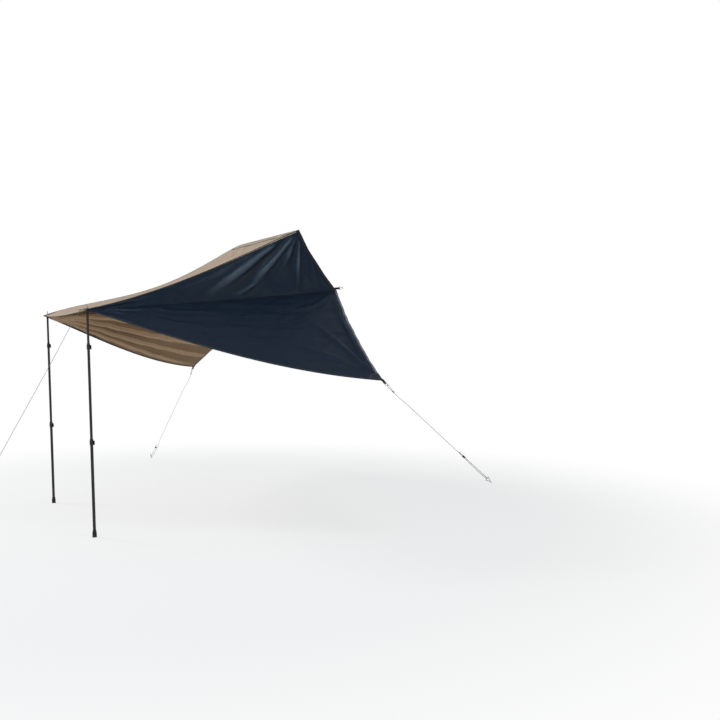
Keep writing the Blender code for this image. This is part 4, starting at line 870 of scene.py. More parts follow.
def add_primitive(kind, name, **settings):
    """A new primitive, the only thing selected."""
    bpy.ops.object.select_all(action="DESELECT")
    getattr(bpy.ops.mesh, f"primitive_{kind}_add")(**settings)
    piece = bpy.context.active_object
    piece.name = piece.data.name = name
    return piece


def extrude(x, y, z):
    """Draw the selected faces or edges out."""
    bpy.ops.mesh.extrude_region_move(TRANSFORM_OT_translate={"value": (x, y, z)})


def spin(steps, degrees, centre, axis):
    """Draw the selected faces round a centre."""
    bpy.ops.mesh.spin(steps=steps, angle=math.radians(degrees), center=centre, axis=axis)


def move(piece, x, y, z=0.0):
    """Move all of a piece's mesh."""
    edit(piece)
    bpy.ops.transform.translate(value=(x, y, z))
    close_edit()


def turned(name, profile, segments=48, closed=False):
    """A round piece: a circle drawn out and scaled along its profile of radius and height."""
    radius, height = profile[0]
    piece = add_primitive("circle", name, vertices=segments, radius=radius, location=(0.0, 0.0, height))
    edit(piece)
    if not closed:
        bpy.ops.mesh.edge_face_add()
    for (before, low), (after, high) in zip(profile, profile[1:] + (profile[:1] if closed else [])):
        extrude(0.0, 0.0, high - low)
        share = after / before
        if abs(share - 1.0) > 1e-6:
            bpy.ops.transform.resize(value=(share, share, 1.0), center_override=(0.0, 0.0, high))
    weld(FINE_WELD)
    return piece


def bent_wire(name, radius, start, heading, bends, sides, tip=None, closed=False):
    """A wire bent in the XZ plane: runs in metres and turns as pairs of angle and radius."""
    place, angle = Vector((start[0], 0.0, start[1])), math.radians(heading)
    turn = (0.0, math.pi / 2 - angle, 0.0)
    piece = add_primitive(
        "circle", name, vertices=sides, radius=radius * (tip or 1.0), location=place, rotation=turn
    )
    edit(piece)
    if not closed:
        bpy.ops.mesh.edge_face_add()
    for bend in bends:
        ahead = Vector((math.cos(angle), 0.0, math.sin(angle)))
        if isinstance(bend, tuple):
            amount, bend_radius = bend
            centre = place + Vector((-ahead.z, 0.0, ahead.x)) * bend_radius * math.copysign(1.0, amount)
            spin(max(int(abs(amount) / 12.0), 2), amount, centre, (0.0, 1.0, 0.0))
            place = centre + Matrix.Rotation(-math.radians(amount), 3, "Y") @ (place - centre)
            angle += math.radians(amount)
        else:
            extrude(*(ahead * bend))
            place = place + ahead * bend
            if tip is not None:
                bpy.ops.transform.resize(value=(1.0 / tip,) * 3, center_override=place)
                tip = None
    weld(WIRE_WELD)
    return piece


def block(name, low, high, edge=0.0):
    """A cube stretched between two corners, its edges rounded by hand."""
    low, high = Vector(low), Vector(high)
    piece = add_primitive("cube", name, size=1.0, location=(low + high) / 2.0)
    edit(piece)
    bpy.ops.transform.resize(value=high - low, center_override=(low + high) / 2.0)
    if edge > 0.0:
        bpy.ops.mesh.bevel(offset=edge, segments=3, affect="EDGES")
    close_edit()
    return piece


def post(name, radius, low, high, centre=(0.0, 0.0), edge=0.0, segments=32):
    """A round post between two heights, with its rims rounded."""
    profile = [(radius, low), (radius, high)]
    if edge > 0.0:
        profile = [(radius - edge, low), (radius, low + edge), (radius, high - edge), (radius - edge, high)]
    piece = turned(name, profile, segments)
    move(piece, *centre)
    return piece


def swing(piece, degrees):
    """Turn a piece about the vertical through the origin."""
    edit(piece)
    bpy.ops.transform.rotate(value=-math.radians(degrees), orient_axis="Z", center_override=(0.0, 0.0, 0.0))
    close_edit()
    return piece


def carve(piece, operation, *tools):
    """Join tools to a piece or cut them away, and remove them."""
    for tool in tools:
        modify(piece, "BOOLEAN", operation=operation, solver="EXACT", object=tool)
        bpy.data.objects.remove(tool)


def soften(piece, width, angle):
    """Round the sharp edges of a piece a little."""
    limit = {"limit_method": "ANGLE", "angle_limit": math.radians(angle), "harden_normals": False}
    modify(piece, "BEVEL", width=width, segments=2, **limit)


def fit(shape, matrix, finish, body, name, *nodes):
    """A copy of a shape in its place on a body, standing for its nodes."""
    piece = shape.copy()
    piece.data = shape.data.copy()
    piece.name = f"{name}_piece"
    bpy.context.scene.collection.objects.link(piece)
    pick(piece)
    bpy.ops.object.transform_apply(location=True, rotation=True, scale=True)
    piece.matrix_world = matrix
    bpy.ops.object.transform_apply(location=True, rotation=True, scale=True)
    bpy.ops.object.shade_smooth_by_angle(angle=SMOOTH_ANGLE)
    piece.data.materials.clear()
    piece.data.materials.append(FINISHES[finish])
    piece.select_set(False)
    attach(piece, body)
    if nodes:
        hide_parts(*nodes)


def axes(place, along_x, along_y, along_z):
    """A placement whose columns are three directions."""
    rows = np.stack([along_x, along_y, along_z, place], axis=1).tolist()
    return Matrix([*rows, (0.0, 0.0, 0.0, 1.0)])


# Each pole: the point it tilts about, its lean in degrees and the reach of its middle tube
POLES = {
    "near": ((0.906335, -2.018198, -0.799575), 1.49921, 0.799079),
    "far": ((-0.906343, -2.018388, -0.794188), 1.495, 0.804464),
}
# Each tube: its radius, the height of its top over its own joint and its length
TUBES = {"upper": (0.0095, -0.0248, 0.860), "middle": (0.0110, 0.0, 0.884), "lower": (0.0125, 0.0, 0.800)}
TUBE_WALL, TUBE_RIM = 0.0012, 0.0003
UPPER_REACH = 0.300
FOOT_BASE = 0.012
CLAMP_AZIMUTH = 60.0
# The clamp's wall over its tube, and its pin's distance from that wall
CLAMP_WALL, PIN_OUT = 0.0033, 0.0058
FIT, NECK_WALL = 0.0003, 0.0024
# The clamp's ears and pin: the lower ends of the ears and pin heads, and the radii
EAR_LOWS, EAR_HEIGHT, EAR_RADIUS = (-0.0050, -0.0330), 0.0040, 0.0050
HEAD_LOWS, HEAD_HEIGHT, HEAD_RADIUS, ROD_RADIUS = (-0.0372, -0.0040), 0.0042, 0.0033, 0.0020
SPLIT_AZIMUTH, GRIP_AZIMUTHS = -32.0, (150.0, 215.0)
# The lever: its ends, its thickness and gap over the clamp, how far it wraps and where its grips are
LEVER_LOW, LEVER_HIGH = -0.0287, -0.0053
LEVER_THICKNESS, LEVER_GAP = 0.0034, 0.0007
LEVER_START, LEVER_SWEEP, LIP_AZIMUTH = 4.0, 118.0, 123.5
LEVER_GRIPS = (72.0, 82.0, 92.0, 102.0)
# Profiles of radius and height in tenths of a millimetre
CAP = tenths(
    (35, -642), (52, -642), (66, -630), (79, -600), (80, -248), (91, -245), (95, -241), (95, -222),
    (91, -218), (91, -206), (95, -202), (95, -188), (89, -176), (62, -105), (53, -78), (49, -69), (36, -66),
)
SPIGOT = tenths((30, -300), (34, -296), (34, 262), (35, 268), (35, 310), (31, 326), (23, 336), (12, 340))
FOOT = tenths(
    (30, 12), (110, 10), (125, 0), (170, 0), (184, 6), (190, 22), (190, 78), (186, 92), (179, 98),
    (179, 112), (183, 120), (180, 140), (166, 205), (160, 290), (158.5, 370), (162, 376), (172, 384),
    (173, 426), (164, 436), (157, 444), (151, 520), (149, 590), (145, 598), (136, 600), (130, 597),
    (128, 590), (128, 122), (30, 120),
)
GROMMET = tenths(
    (85, 12), (85, 48), (87, 53), (92, 57), (100, 59), (109, 57), (112, 54), (118, 55), (142, 54), (155, 52),
    (160, 50), (160, 47), (98, 47), (95, 44), (95, -12), (98, -14), (160, -14), (160, -17), (154, -20),
    (118, -22), (112, -21), (107, -24), (98, -26), (91, -25), (86, -21),
)


def shape_tube(stage):
    """A drawn tube with eased rims."""
    radius, top, length = TUBES[stage]
    inner, low, rim = radius - TUBE_WALL, top - length, TUBE_RIM
    profile = [
        (inner, low + rim), (inner + rim, low), (radius - rim, low), (radius, low + rim),
        (radius, top - rim), (radius - rim, top), (inner + rim, top), (inner, top - rim),
    ]
    return turned(f"{stage}_tube", profile, 48, closed=True)


def shape_foot():
    """The rubber foot with a ring of ribs and a dished sole."""
    foot = turned("pole_foot", FOOT, 60)
    for turn in range(0, 360, 30):
        rib = block("rib", (0.0140, -0.0009, 0.0160), (0.0180, 0.0009, 0.0372), 0.0005)
        carve(foot, "UNION", swing(rib, turn))
    return foot


def shape_clamp(stage, outer, inner):
    """The clamp at a tube's end: collar, neck, two ears, a pin and a split."""
    body, bore, neck_bore = outer + CLAMP_WALL, outer + FIT, inner + FIT
    neck, pin = neck_bore + NECK_WALL, body + PIN_OUT
    profile = [
        (neck_bore, 0.0139), (neck_bore + 0.0004, 0.0143), (neck, 0.0143), (neck + 0.0005, 0.0138),
        (neck + 0.0006, 0.0124), (body - 0.0018, 0.0062), (body - 0.0006, 0.0047), (body, 0.0034),
        (body, -0.0075), (body - 0.0006, -0.0081), (body - 0.0006, -0.0265), (body, -0.0271),
        (body, -0.0366), (body - 0.0005, -0.0376), (body - 0.0013, -0.0380), (bore, -0.0380),
        (bore, 0.0003), (neck_bore, 0.0003),
    ]
    clamp = turned(f"{stage}_clamp", profile, 60, closed=True)
    for low in EAR_LOWS:
        high = low + EAR_HEIGHT
        ear = post("ear", EAR_RADIUS, low, high, (pin, 0.0), 0.0005)
        carve(ear, "UNION", block("web", (body - 0.0016, -EAR_RADIUS, low), (pin, EAR_RADIUS, high)))
        carve(clamp, "UNION", ear)
    for low in HEAD_LOWS:
        carve(clamp, "UNION", post("pin_head", HEAD_RADIUS, low, low + HEAD_HEIGHT, (pin, 0.0), 0.0007, 24))
    carve(clamp, "UNION", post("rod", ROD_RADIUS, -0.0345, -0.0035, (pin, 0.0), 0.0, 20))
    split = block("split", (inner - 0.002, -0.0008, -0.0323), (body + 0.003, 0.0008, 0.0180))
    carve(clamp, "DIFFERENCE", swing(split, SPLIT_AZIMUTH))
    for turn in GRIP_AZIMUTHS:
        grip = block("grip", (body - 0.0022, -0.0055, -0.0250), (body - 0.0001, 0.0055, -0.0095), 0.0004)
        carve(clamp, "UNION", swing(grip, turn))
    return clamp


def around(degrees, radius):
    """A point round the vertical through the origin."""
    turn = math.radians(degrees)
    return math.cos(turn) * radius, math.sin(turn) * radius


def shape_lever(stage, outer):
    """The lever that wraps round its clamp, thicker at the hub and lifted at the tip."""
    body = outer + CLAMP_WALL
    pin, middle = body + PIN_OUT, body + LEVER_GAP + LEVER_THICKNESS / 2.0
    low, high = LEVER_LOW, LEVER_HIGH
    place, upright_turn = (middle, 0.0, (low + high) / 2.0), (math.pi / 2, 0.0, 0.0)
    arm = add_primitive("plane", f"{stage}_lever", size=1.0, location=place, rotation=upright_turn)
    edit(arm)
    bpy.ops.transform.resize(value=(LEVER_THICKNESS, 1.0, high - low))
    spin(24, -LEVER_SWEEP, (0.0, 0.0, 0.0), (0.0, 0.0, 1.0))
    weld(FINE_WELD)
    swing(arm, LEVER_START)
    carve(arm, "UNION", post("lip", 0.0024, low, high, around(LIP_AZIMUTH, middle + 0.0014), 0.0006, 20))
    carve(arm, "UNION", post("hub", EAR_RADIUS, low, high, (pin, 0.0), 0.0005))
    carve(arm, "DIFFERENCE", post("bore", ROD_RADIUS + FIT, low - 0.001, high + 0.001, (pin, 0.0), 0.0, 20))
    for turn in LEVER_GRIPS:
        place = around(turn, middle + LEVER_THICKNESS / 2.0)
        carve(arm, "UNION", post("grip", 0.0007, low + 0.004, high - 0.004, place, 0.0, 10))
    soften(arm, 0.0004, 50.0)
    move(arm, -pin, 0.0)
    return arm


def build_poles():
    """Both telescopic poles, each piece on the body that carries it."""
    radius = {stage: TUBES[stage][0] for stage in TUBES}
    shapes = {"cap": turned("pole_cap", CAP, 48), "spigot": turned("spigot", SPIGOT, 32)}
    shapes |= {"foot": shape_foot()} | {f"{stage}_tube": shape_tube(stage) for stage in TUBES}
    pairs = (("upper", "middle", "upper"), ("lower", "lower", "middle"))
    for stage, outer, inner in pairs:
        shapes[f"{stage}_clamp"] = shape_clamp(stage, radius[outer], radius[inner])
        shapes[f"{stage}_lever"] = shape_lever(stage, radius[outer])
    turn = Matrix.Rotation(math.radians(CLAMP_AZIMUTH), 4, "Z")
    for side, (pivot, lean, reach) in POLES.items():
        top = Matrix.Translation(pivot) @ Matrix.Rotation(math.radians(lean), 4, "X")
        middle = top @ Matrix.Translation((0.0, 0.0, -UPPER_REACH))
        low = middle @ Matrix.Translation((0.0, 0.0, -reach))
        sole = low @ Matrix.Translation((0.0, 0.0, -TUBES["lower"][2] - FOOT_BASE))
        places = [
            ("cap", top, "plastic", "pole_top", "pole_cap"), ("spigot", top, "steel", "pole_top"),
            ("upper_tube", top, "pole_metal", "pole_top", "upper_tube"),
            ("middle_tube", middle, "pole_metal", "pole_middle", "middle_tube"),
            ("upper_clamp", middle @ turn, "plastic", "pole_middle", "upper_clamp"),
            ("lower_tube", low, "pole_metal", "pole_bottom", "lower_tube"),
            ("lower_clamp", low @ turn, "plastic", "pole_bottom", "lower_clamp"),
            ("foot", sole, "rubber", "pole_bottom", "pole_foot"),
        ]
        for (stage, outer, _), carrier in zip(pairs, (middle, low)):
            pin = carrier @ turn @ Matrix.Translation((radius[outer] + CLAMP_WALL + PIN_OUT, 0.0, 0.0))
            places.append((f"{stage}_lever", pin, "plastic", f"{stage}_lever_arm", f"{stage}_lever"))
        for shape, matrix, finish, body, *nodes in places:
            nodes = [f"{side}_{node}" for node in nodes]
            fit(shapes[shape], matrix, finish, f"{side}_{body}", f"{side}_{shape}", *nodes)
    for shape in shapes.values():
        bpy.data.objects.remove(shape)


# Rings, hooks, pegs and runners

# Each webbing loop: the bar it holds, the bar's direction, the pull, the side of its wrap, the point
# it is sewn at and the direction it runs in
LOOPS = {
    "near_corner_loop": (
        (2.346167, 0.010173, -1.407275), (-0.21726, 0.926635, 0.306833), (0.69514, 0.367555, -0.617806),
        (0.685258, -0.079067, 0.723996), (2.314886, -0.006367, -1.379473), (0.88486, 0.319674, -0.338868),
    ),
    "far_corner_loop": (
        (-2.349144, -0.00865, -1.40862), (0.181203, -0.973862, -0.136962), (-0.761226, -0.050716, -0.6465),
        (-0.622656, -0.221407, 0.750519), (-2.314889, -0.006368, -1.379528),
        (-0.89389, -0.105031, -0.435808),
    ),
    "near_edge_strap": (
        (0.762236, 0.438594, -0.543108), (-0.044058, -0.097226, 0.994287), (0.04969, 0.993808, 0.099381),
        (0.997792, -0.053785, 0.038954), (0.76, 0.393873, -0.54758), (-0.07559, 0.992725, 0.093724),
    ),
    "far_edge_strap": (
        (-0.762236, 0.438985, -0.543651), (-0.041501, 0.097363, -0.994383), (-0.04969, 0.993808, 0.099381),
        (-0.997902, -0.053536, 0.036406), (-0.76, 0.394264, -0.548123), (0.071426, 0.992983, 0.094245),
    ),
}
GROMMETS = {
    "near": ((0.906398, -2.017819, -0.80118), (-0.038561, -0.229447, 0.972557)),
    "far": ((-0.906416, -2.017819, -0.795735), (0.044077, -0.344662, 0.937692)),
}
# Each runner: its middle, the direction across its two bores and the rope's direction
RUNNERS = {
    "near_pole": (
        (0.992114, -2.994911, -2.487543), (-0.997248, -0.074066, 0.003134), (0.032859, -0.479538, -0.876906),
    ),
    "near_corner": (
        (2.960457, 0.336296, -1.949926), (0.459803, -0.887996, 0.006595), (0.70643, 0.361268, -0.60864),
    ),
    "far_corner": (
        (-3.69221, -0.092402, -2.544023), (-0.061234, 0.998114, 0.004393), (-0.765792, -0.044157, -0.641571),
    ),
}
# Each peg: the point the rope goes round it at and the horizontal way back to the canopy
PEGS = {
    "near_pole": ((1.000, -3.110, -2.698), (-0.085469, 0.996341, 0.0)),
    "far_corner": ((-3.876, -0.103, -2.698), (0.997795, 0.066366, 0.0)),
}
NEAR_ANCHOR = (3.130, 0.423, -2.096)
PEG_LEAN = math.radians(24.0)
RING_BENDS = [0.009, (90.0, 0.004), 0.007, (180.0, 0.013), 0.007, (90.0, 0.004), 0.009]
HOOK_BENDS = [0.003, (40.0, 0.008), 0.01507, (-130.0, 0.007), 0.018, (-130.0, 0.007), 0.01507, (40.0, 0.008)]
HOOK_BENDS += [(-30.0, 0.01045), (30.0, 0.01045), 0.01137]
PEG_BENDS = [0.012, 0.090, 0.136, (-180.0, 0.009), 0.012]
RING_WIRE, HOOK_WIRE, PEG_WIRE = 0.0020, 0.0025, 0.0035
PEG_LENGTH = 0.202
# The runner's halves: its size, where its bores are, its grooves and the cylinders that waist it
RUNNER_HALF = (0.0124, 0.0045, 0.0130)
BORE_OUT, BORE_RADIUS, BORE_GAP = 0.0075, 0.0021, 0.0003
GROOVE_HEIGHTS, GROOVE_OUT = (-0.0072, -0.0036, 0.0, 0.0036, 0.0072), 0.0051
WAIST_RADIUS, WAIST_OUT = 0.0240, 0.0352


def shape_hook():
    """A bent wire hook: an open eye for the webbing, a shank and a round bend."""
    hook = bent_wire("hook", HOOK_WIRE, (0.0028, 0.0312), -90.0, HOOK_BENDS, 16)
    edit(hook)
    bpy.ops.mesh.select_all(action="DESELECT")
    close_edit()
    top = max(vertex.co.z for vertex in hook.data.vertices)
    for face in hook.data.polygons:
        face.select = len(face.vertices) > 4 and face.center.z > top - 0.001
    bpy.ops.object.mode_set(mode="EDIT")
    spin(16, -180.0, (0.0, -0.011, top), (1.0, 0.0, 0.0))
    extrude(0.0, -0.002, -0.010)
    extrude(0.0, 0.0, -0.0012)
    bpy.ops.transform.resize(value=(0.62, 0.62, 1.0))
    weld(WIRE_WELD)
    return hook


def shape_runner():
    """The line runner: a moulded block with two bores, waisted and grooved for the fingers."""
    runner = block("runner", -Vector(RUNNER_HALF), RUNNER_HALF)
    edit(runner)
    bpy.ops.mesh.select_all(action="DESELECT")
    close_edit()
    for edge in runner.data.edges:
        first, last = (runner.data.vertices[spot].co for spot in edge.vertices)
        edge.select = abs(first.z - last.z) > 0.02
    bpy.ops.object.mode_set(mode="EDIT")
    bpy.ops.mesh.select_mode(type="EDGE")
    bpy.ops.mesh.bevel(offset=0.0042, segments=8, affect="EDGES")
    close_edit()
    crossways, lengthways = (0.0, math.pi / 2, 0.0), (math.pi / 2, 0.0, 0.0)
    for place in [(0.0, front * GROOVE_OUT, height) for height in GROOVE_HEIGHTS for front in (-1.0, 1.0)]:
        size = {"vertices": 20, "radius": 0.0010, "depth": 0.0120, "location": place, "rotation": crossways}
        carve(runner, "DIFFERENCE", add_primitive("cylinder", "groove", **size))
    for front in (-1.0, 1.0):
        place = (front * WAIST_OUT, 0.0, 0.0)
        size = {"vertices": 64, "radius": WAIST_RADIUS, "depth": 0.0200}
        waist = add_primitive("cylinder", "waist", location=place, rotation=lengthways, **size)
        bore = post("bore", BORE_RADIUS, -0.0140, 0.0140, (front * BORE_OUT, 0.0), 0.0, 28)
        carve(runner, "DIFFERENCE", waist, bore)
    soften(runner, 0.0005, 40.0)
    return runner


def hook_place(place, hold, side):
    """A hook's placement: its bar across, its bend on the hold's side."""
    return axes(place, np.cross(hold, side), -np.array(side), hold)


def upright(place, normal):
    """A placement whose Z axis is a normal."""
    return Matrix.Translation(place) @ Vector(normal).to_track_quat("Z", "Y").to_matrix().to_4x4()


def build_fittings():
    """Rings, hooks, pegs, grommets and runners."""
    ring = bent_wire("corner_ring", RING_WIRE, (0.0, 0.0), 0.0, RING_BENDS, 16, closed=True)
    peg = bent_wire("peg", PEG_WIRE, (0.0, -PEG_LENGTH), 90.0, PEG_BENDS, 18, tip=0.25)
    hook, grommet, runner = shape_hook(), turned("grommet", GROMMET, 56, closed=True), shape_runner()
    places = []
    for side, spot in GROMMETS.items():
        places.append((grommet, upright(*spot), "brass", "canopy", f"{side}_grommet"))
        centre, bar, pull = (np.array(item) for item in LOOPS[f"{side}_corner_loop"][:3])
        matrix = axes(centre, bar, np.cross(pull, bar), pull)
        places.append((ring, matrix, "steel", "canopy", f"{side}_corner_ring"))
        centre, _, pull, bend = LOOPS[f"{side}_edge_strap"][:4]
        places.append((hook, hook_place(centre, pull, bend), "steel", "canopy", f"{side}_edge_hook"))
    for name, (place, across, along) in RUNNERS.items():
        matrix = axes(place, across, np.cross(along, across), along)
        places.append((runner, matrix, "plastic", f"{name}_adjuster", f"{name}_runner"))
    _, across, along = RUNNERS["near_corner"]
    hold = np.array(NEAR_ANCHOR) + np.array(along) * (BORE_OUT - ROPE_RADIUS - BORE_GAP - HOOK_WIRE)
    places.append((hook, hook_place(hold, along, across), "steel", "canopy", "near_corner_hook"))
    for name, (place, inward) in PEGS.items():
        shaft = UP * math.cos(PEG_LEAN) - np.array(inward) * math.sin(PEG_LEAN)
        back = -np.array(inward) * math.cos(PEG_LEAN) - UP * math.sin(PEG_LEAN)
        matrix = axes(place, back, np.cross(shaft, back), shaft)
        places.append((peg, matrix, "steel", "canopy", f"{name}_peg"))
    for shape, matrix, finish, body, node in places:
        fit(shape, matrix, finish, body, node, node)
    for shape in (ring, hook, peg, grommet, runner):
        bpy.data.objects.remove(shape)


# Webbing, patches and seams


def nearest_on_cloth(point, low, high):
    """The grid place nearest to a point, between two columns."""
    gaps = np.linalg.norm(grid[:, low : high + 1] - point, axis=2)
    row, column = np.unravel_index(gaps.argmin(), gaps.shape)
    place, best, reach = (float(row), float(column + low)), gaps.min(), 1.0
    while reach > 0.02:
        spots = [(place[0] + a * reach, place[1] + b * reach) for a in (-1, 0, 1) for b in (-1, 0, 1)]
        spots = [(min(max(a, 0.0), ROWS), min(max(b, low), high)) for a, b in spots]
        found = [float(np.linalg.norm(on_cloth(*spot)[0] - point)) for spot in spots]
        if min(found) < best - 1e-7:
            best, place = min(found), spots[found.index(min(found))]
        else:
            reach /= 2.0
    return place


def eased(controls, steps):
    """A smooth line through points."""
    points = [np.array(point, dtype=float) for point in controls]
    ends = [2 * points[0] - points[1], *points, 2 * points[-1] - points[-2]]
    line = []
    for index in range(1, len(ends) - 2):
        first, second, third, fourth = ends[index - 1 : index + 3]
        for t in (step / steps for step in range(steps)):
            bend = (2 * first - 5 * second + 4 * third - fourth) * t**2
            twist = (3 * second - first - 3 * third + fourth) * t**3
            line.append(0.5 * (2 * second + (third - first) * t + bend + twist))
    return np.array(line + [points[-1]])


# How far a strap's outer and inner leg run in over the cloth and how high they lie, and its size
OUTER_LEG, INNER_LEG = 0.045, 0.030
OUTER_HEIGHTS, INNER_HEIGHT = {"loop": 0.0050, "strap": 0.0030}, -0.0028
STRAP_WIDTH, STRAP_THICKNESS = 0.020, 0.0015
# The radius of a strap's middle round its ring or hook
LOOP_WRAP, HOOK_WRAP = 0.00305, 0.00355
THREAD_RISE, THREAD_RADIUS, STITCH_LENGTH = 0.00085, 0.00042, 0.0032


def build_webbing(name, wrap_radius, low, high):
    """A strap sewn over both faces of the canopy's corner and wrapped round its bar."""
    centre, bar, pull, side, sewn, run = (np.array(item) for item in LOOPS[name])
    if name.endswith("strap"):
        across = np.cross(bar, pull)
        side = across * math.copysign(1.0, across @ side)
    normal = on_cloth(*nearest_on_cloth(sewn, low, high))[1]

    def stuck(distance, height):
        """A point that far in along the strap, over the cloth's face."""
        place = sewn - run * distance
        foot, up = on_cloth(*nearest_on_cloth(place, low, high))
        return place - up * float((place - foot) @ up) + up * height

    outer = OUTER_HEIGHTS[name.split("_")[-1]]
    controls = [stuck(OUTER_LEG * share, outer) for share in (1.0, 0.8, 0.6, 0.4, 0.2, 0.0, -0.2)]
    controls += [centre - pull * 0.009 + side * (wrap_radius + 0.0005)]
    for turn in (math.pi * step / 8.0 for step in range(9)):
        controls.append(centre + side * wrap_radius * math.cos(turn) + pull * wrap_radius * math.sin(turn))
    controls += [centre - pull * 0.009 - side * (wrap_radius + 0.0005)]
    controls += [stuck(INNER_LEG * share, INNER_HEIGHT) for share in (-0.45, 0.0, 0.25, 0.5, 0.75, 1.0)]
    path = eased(controls, 5)
    piece = build_ribbon(f"{name}_piece", path, bar, STRAP_WIDTH, STRAP_THICKNESS, "dark_webbing")
    thread = build_box_stitch(f"{name}_stitching", stuck, np.cross(run, normal), outer + THREAD_RISE)
    return named(piece, "dark_webbing", name), thread


def build_box_stitch(name, stuck, across, height):
    """The box and cross of thick thread that holds a strap down."""
    inner, outer, wide = 0.006, OUTER_LEG - 0.004, 0.0075
    corners = [(inner, -wide), (outer, -wide), (outer, wide), (inner, wide), (inner, -wide), (outer, wide)]
    corners += [(outer, -wide), (inner, wide)]
    points, faces = [], []
    for (first, left), (last, right) in zip(corners, corners[1:]):
        count = max(int(math.hypot(last - first, right - left) / STITCH_LENGTH), 1)
        up = unit(stuck(first, height + 0.01) - stuck(first, height))
        for stitch in range(count):
            ring = []
            for end in (0.12, 0.30, 0.70, 0.88):
                share = (stitch + end) / count
                place = stuck(first + (last - first) * share, height)
                ring.append(place + across * (left + (right - left) * share))
            beside = np.cross(unit(ring[-1] - ring[0]), up)
            start = len(points)
            for place, size, sink in zip(ring, (0.4, 1.0, 1.0, 0.4), (-0.0003, 0.0, 0.0, -0.0003)):
                for angle in (math.tau * spot / 8.0 for spot in range(8)):
                    offset = beside * math.cos(angle) + up * math.sin(angle)
                    points.append(place + offset * THREAD_RADIUS * size + up * sink)
            faces += [[start + spot for spot in face] for face in ring_faces(4, 8)]
    return outward(new_piece(name, points, faces, [FINISHES["thread"]], None))


def mirrored(profile):
    """A profile's other half, from its middle outwards."""
    return [(-distance, height) for distance, height in profile[::-1]]


# Cross-sections of the seams: distance across the seam and height over the cloth
CORD_TURNS = [math.radians(turn) for turn in range(20, 161, 20)]
CORD_SPOTS = [(0.0040 * math.cos(turn), 0.0040 * math.sin(turn)) for turn in CORD_TURNS]
RIDGE_FLAP = tenths((165, 7), (165, 13), (150, 17), (120, 13), (60, 15))
RIDGE_PROFILE = tenths((265, 7), (265, 13), (250, 17), (205, 13), (60, 15)) + CORD_SPOTS
RIDGE_PROFILE += mirrored(RIDGE_FLAP) + tenths((-80, -10), (-30, -30), (30, -30), (80, -10))
SEAM_FLAP = tenths((75, 6), (75, 14), (66, 18), (52, 13))
SEAM_PROFILE = SEAM_FLAP + tenths((0, 17)) + mirrored(SEAM_FLAP) + tenths((-50, -14), (0, -20), (50, -14))
TAPE_FLAP = tenths((120, 6), (120, 13), (105, 18), (70, 30), (30, 52))
TAPE_PROFILE = TAPE_FLAP + tenths((0, 56)) + mirrored(TAPE_FLAP)
HEM_WIDTH, SIDE_BAND_WIDTH = 0.022, 0.040
BEAD_RADIUS = 0.0044
BAND_PROFILE = tenths((45, 7), (45, 16), (60, 21), (85, 17), (245, 19), (410, 17), (435, 21))
BAND_PROFILE += tenths((450, 16), (450, 7))


def build_seam(name, column, start, end, profile, finish, dips, way=1.0):
    """A sewn seam along one column of the canopy: pairs of distance across and height."""
    run = RUNS[1][:, column]
    first, last = np.interp([start, end], range(ROWS + 1), run)
    lengths = np.linspace(first, last, max(int((last - first) / SEAM_STEP), 2) + 1)
    points, strips = [], []
    for row, length in zip(np.interp(lengths, run, range(ROWS + 1)), lengths):
        middle = on_cloth(row, column)[0]
        spaces = [np.linalg.norm(on_cloth(row, column + beside)[0] - middle) for beside in (-way, way)]
        pucker = 1.0 + dips * (0.5 * math.sin(length * 310.0) + 0.5 * math.sin(length * 187.0 + 2.0))
        for distance, height in profile:
            space = max(spaces[1] if distance > 0.0 else spaces[0], abs(distance) / 0.9)
            point, up = on_cloth(row, column + way * distance / space)
            points.append(point + up * height * (pucker if height > 0.0 else 1.0))
            strips.append((length, distance if height > 0.0 else 0.03 + distance))
    return lofted(name, points, strips, len(profile), finish)


PATCH_CELLS, PATCH_HEIGHT, PATCH_THICKNESS, PATCH_INSET = 26, 0.0031, 0.0012, 0.001
# A patch's inset from the side edge and its length, at the low corner and at the pole
LOW_PATCH, POLE_PATCH = (PATCH_INSET, 0.110), (0.0048, 0.130)
CLOTH_HOLE, PATCH_HOLE = 0.0098, 0.0101


def build_patch(name, side, inset, length, finish, upper):
    """A quarter-round patch at an upper or a low corner of the canopy, its rim turned under."""
    cells, size = PATCH_CELLS, PATCH_CELLS + 1
    sign = 1.0 if side == "far" else -1.0
    base = mirror_column(side, RIDGE if upper else 0)
    points, strips = [], []
    for layer in (1.0, -1.0):
        for row in range(size):
            share = row / cells
            along = PATCH_INSET + length * share
            spot = rows_in(base, along, 1) if upper else ROWS - rows_in(base, along, -1)
            width = np.linalg.norm(on_cloth(spot, base + sign * 4)[0] - on_cloth(spot, base)[0]) / 4.0
            for column in range(size):
                beside = math.sqrt(1.0 - 0.94 * share**2) * column / cells
                across = inset + length * beside
                point, up = on_cloth(spot, base + sign * across / width)
                rim = min(row, cells - row, column, cells - column)
                swell = 0.0003 if rim in (1, 2) and layer > 0 else 0.0
                rise = layer * PATCH_THICKNESS / 2.0 * (0.35 if rim == 0 else 1.0)
                points.append(point + up * (PATCH_HEIGHT + rise + swell))
                strips.append((length * share, length * min(share, beside, 1.0 - math.hypot(share, beside))))
    faces = []
    for row in range(cells):
        for column in range(cells):
            start = row * size + column
            faces.append([start, start + 1, start + size + 1, start + size])
            start += size * size
            faces.append([start, start + size, start + size + 1, start + 1])
    rim = [*range(size), *(row * size + cells for row in range(1, size))]
    rim += [*(cells * size + column for column in range(cells - 1, -1, -1))]
    rim += [row * size for row in range(cells - 1, 0, -1)]
    for first, last in zip(rim, rim[1:] + rim[:1]):
        faces.append([first, first + size * size, last + size * size, last])
    return outward(new_piece(name, points, faces, [FINISHES[finish]], strips), 50.0)


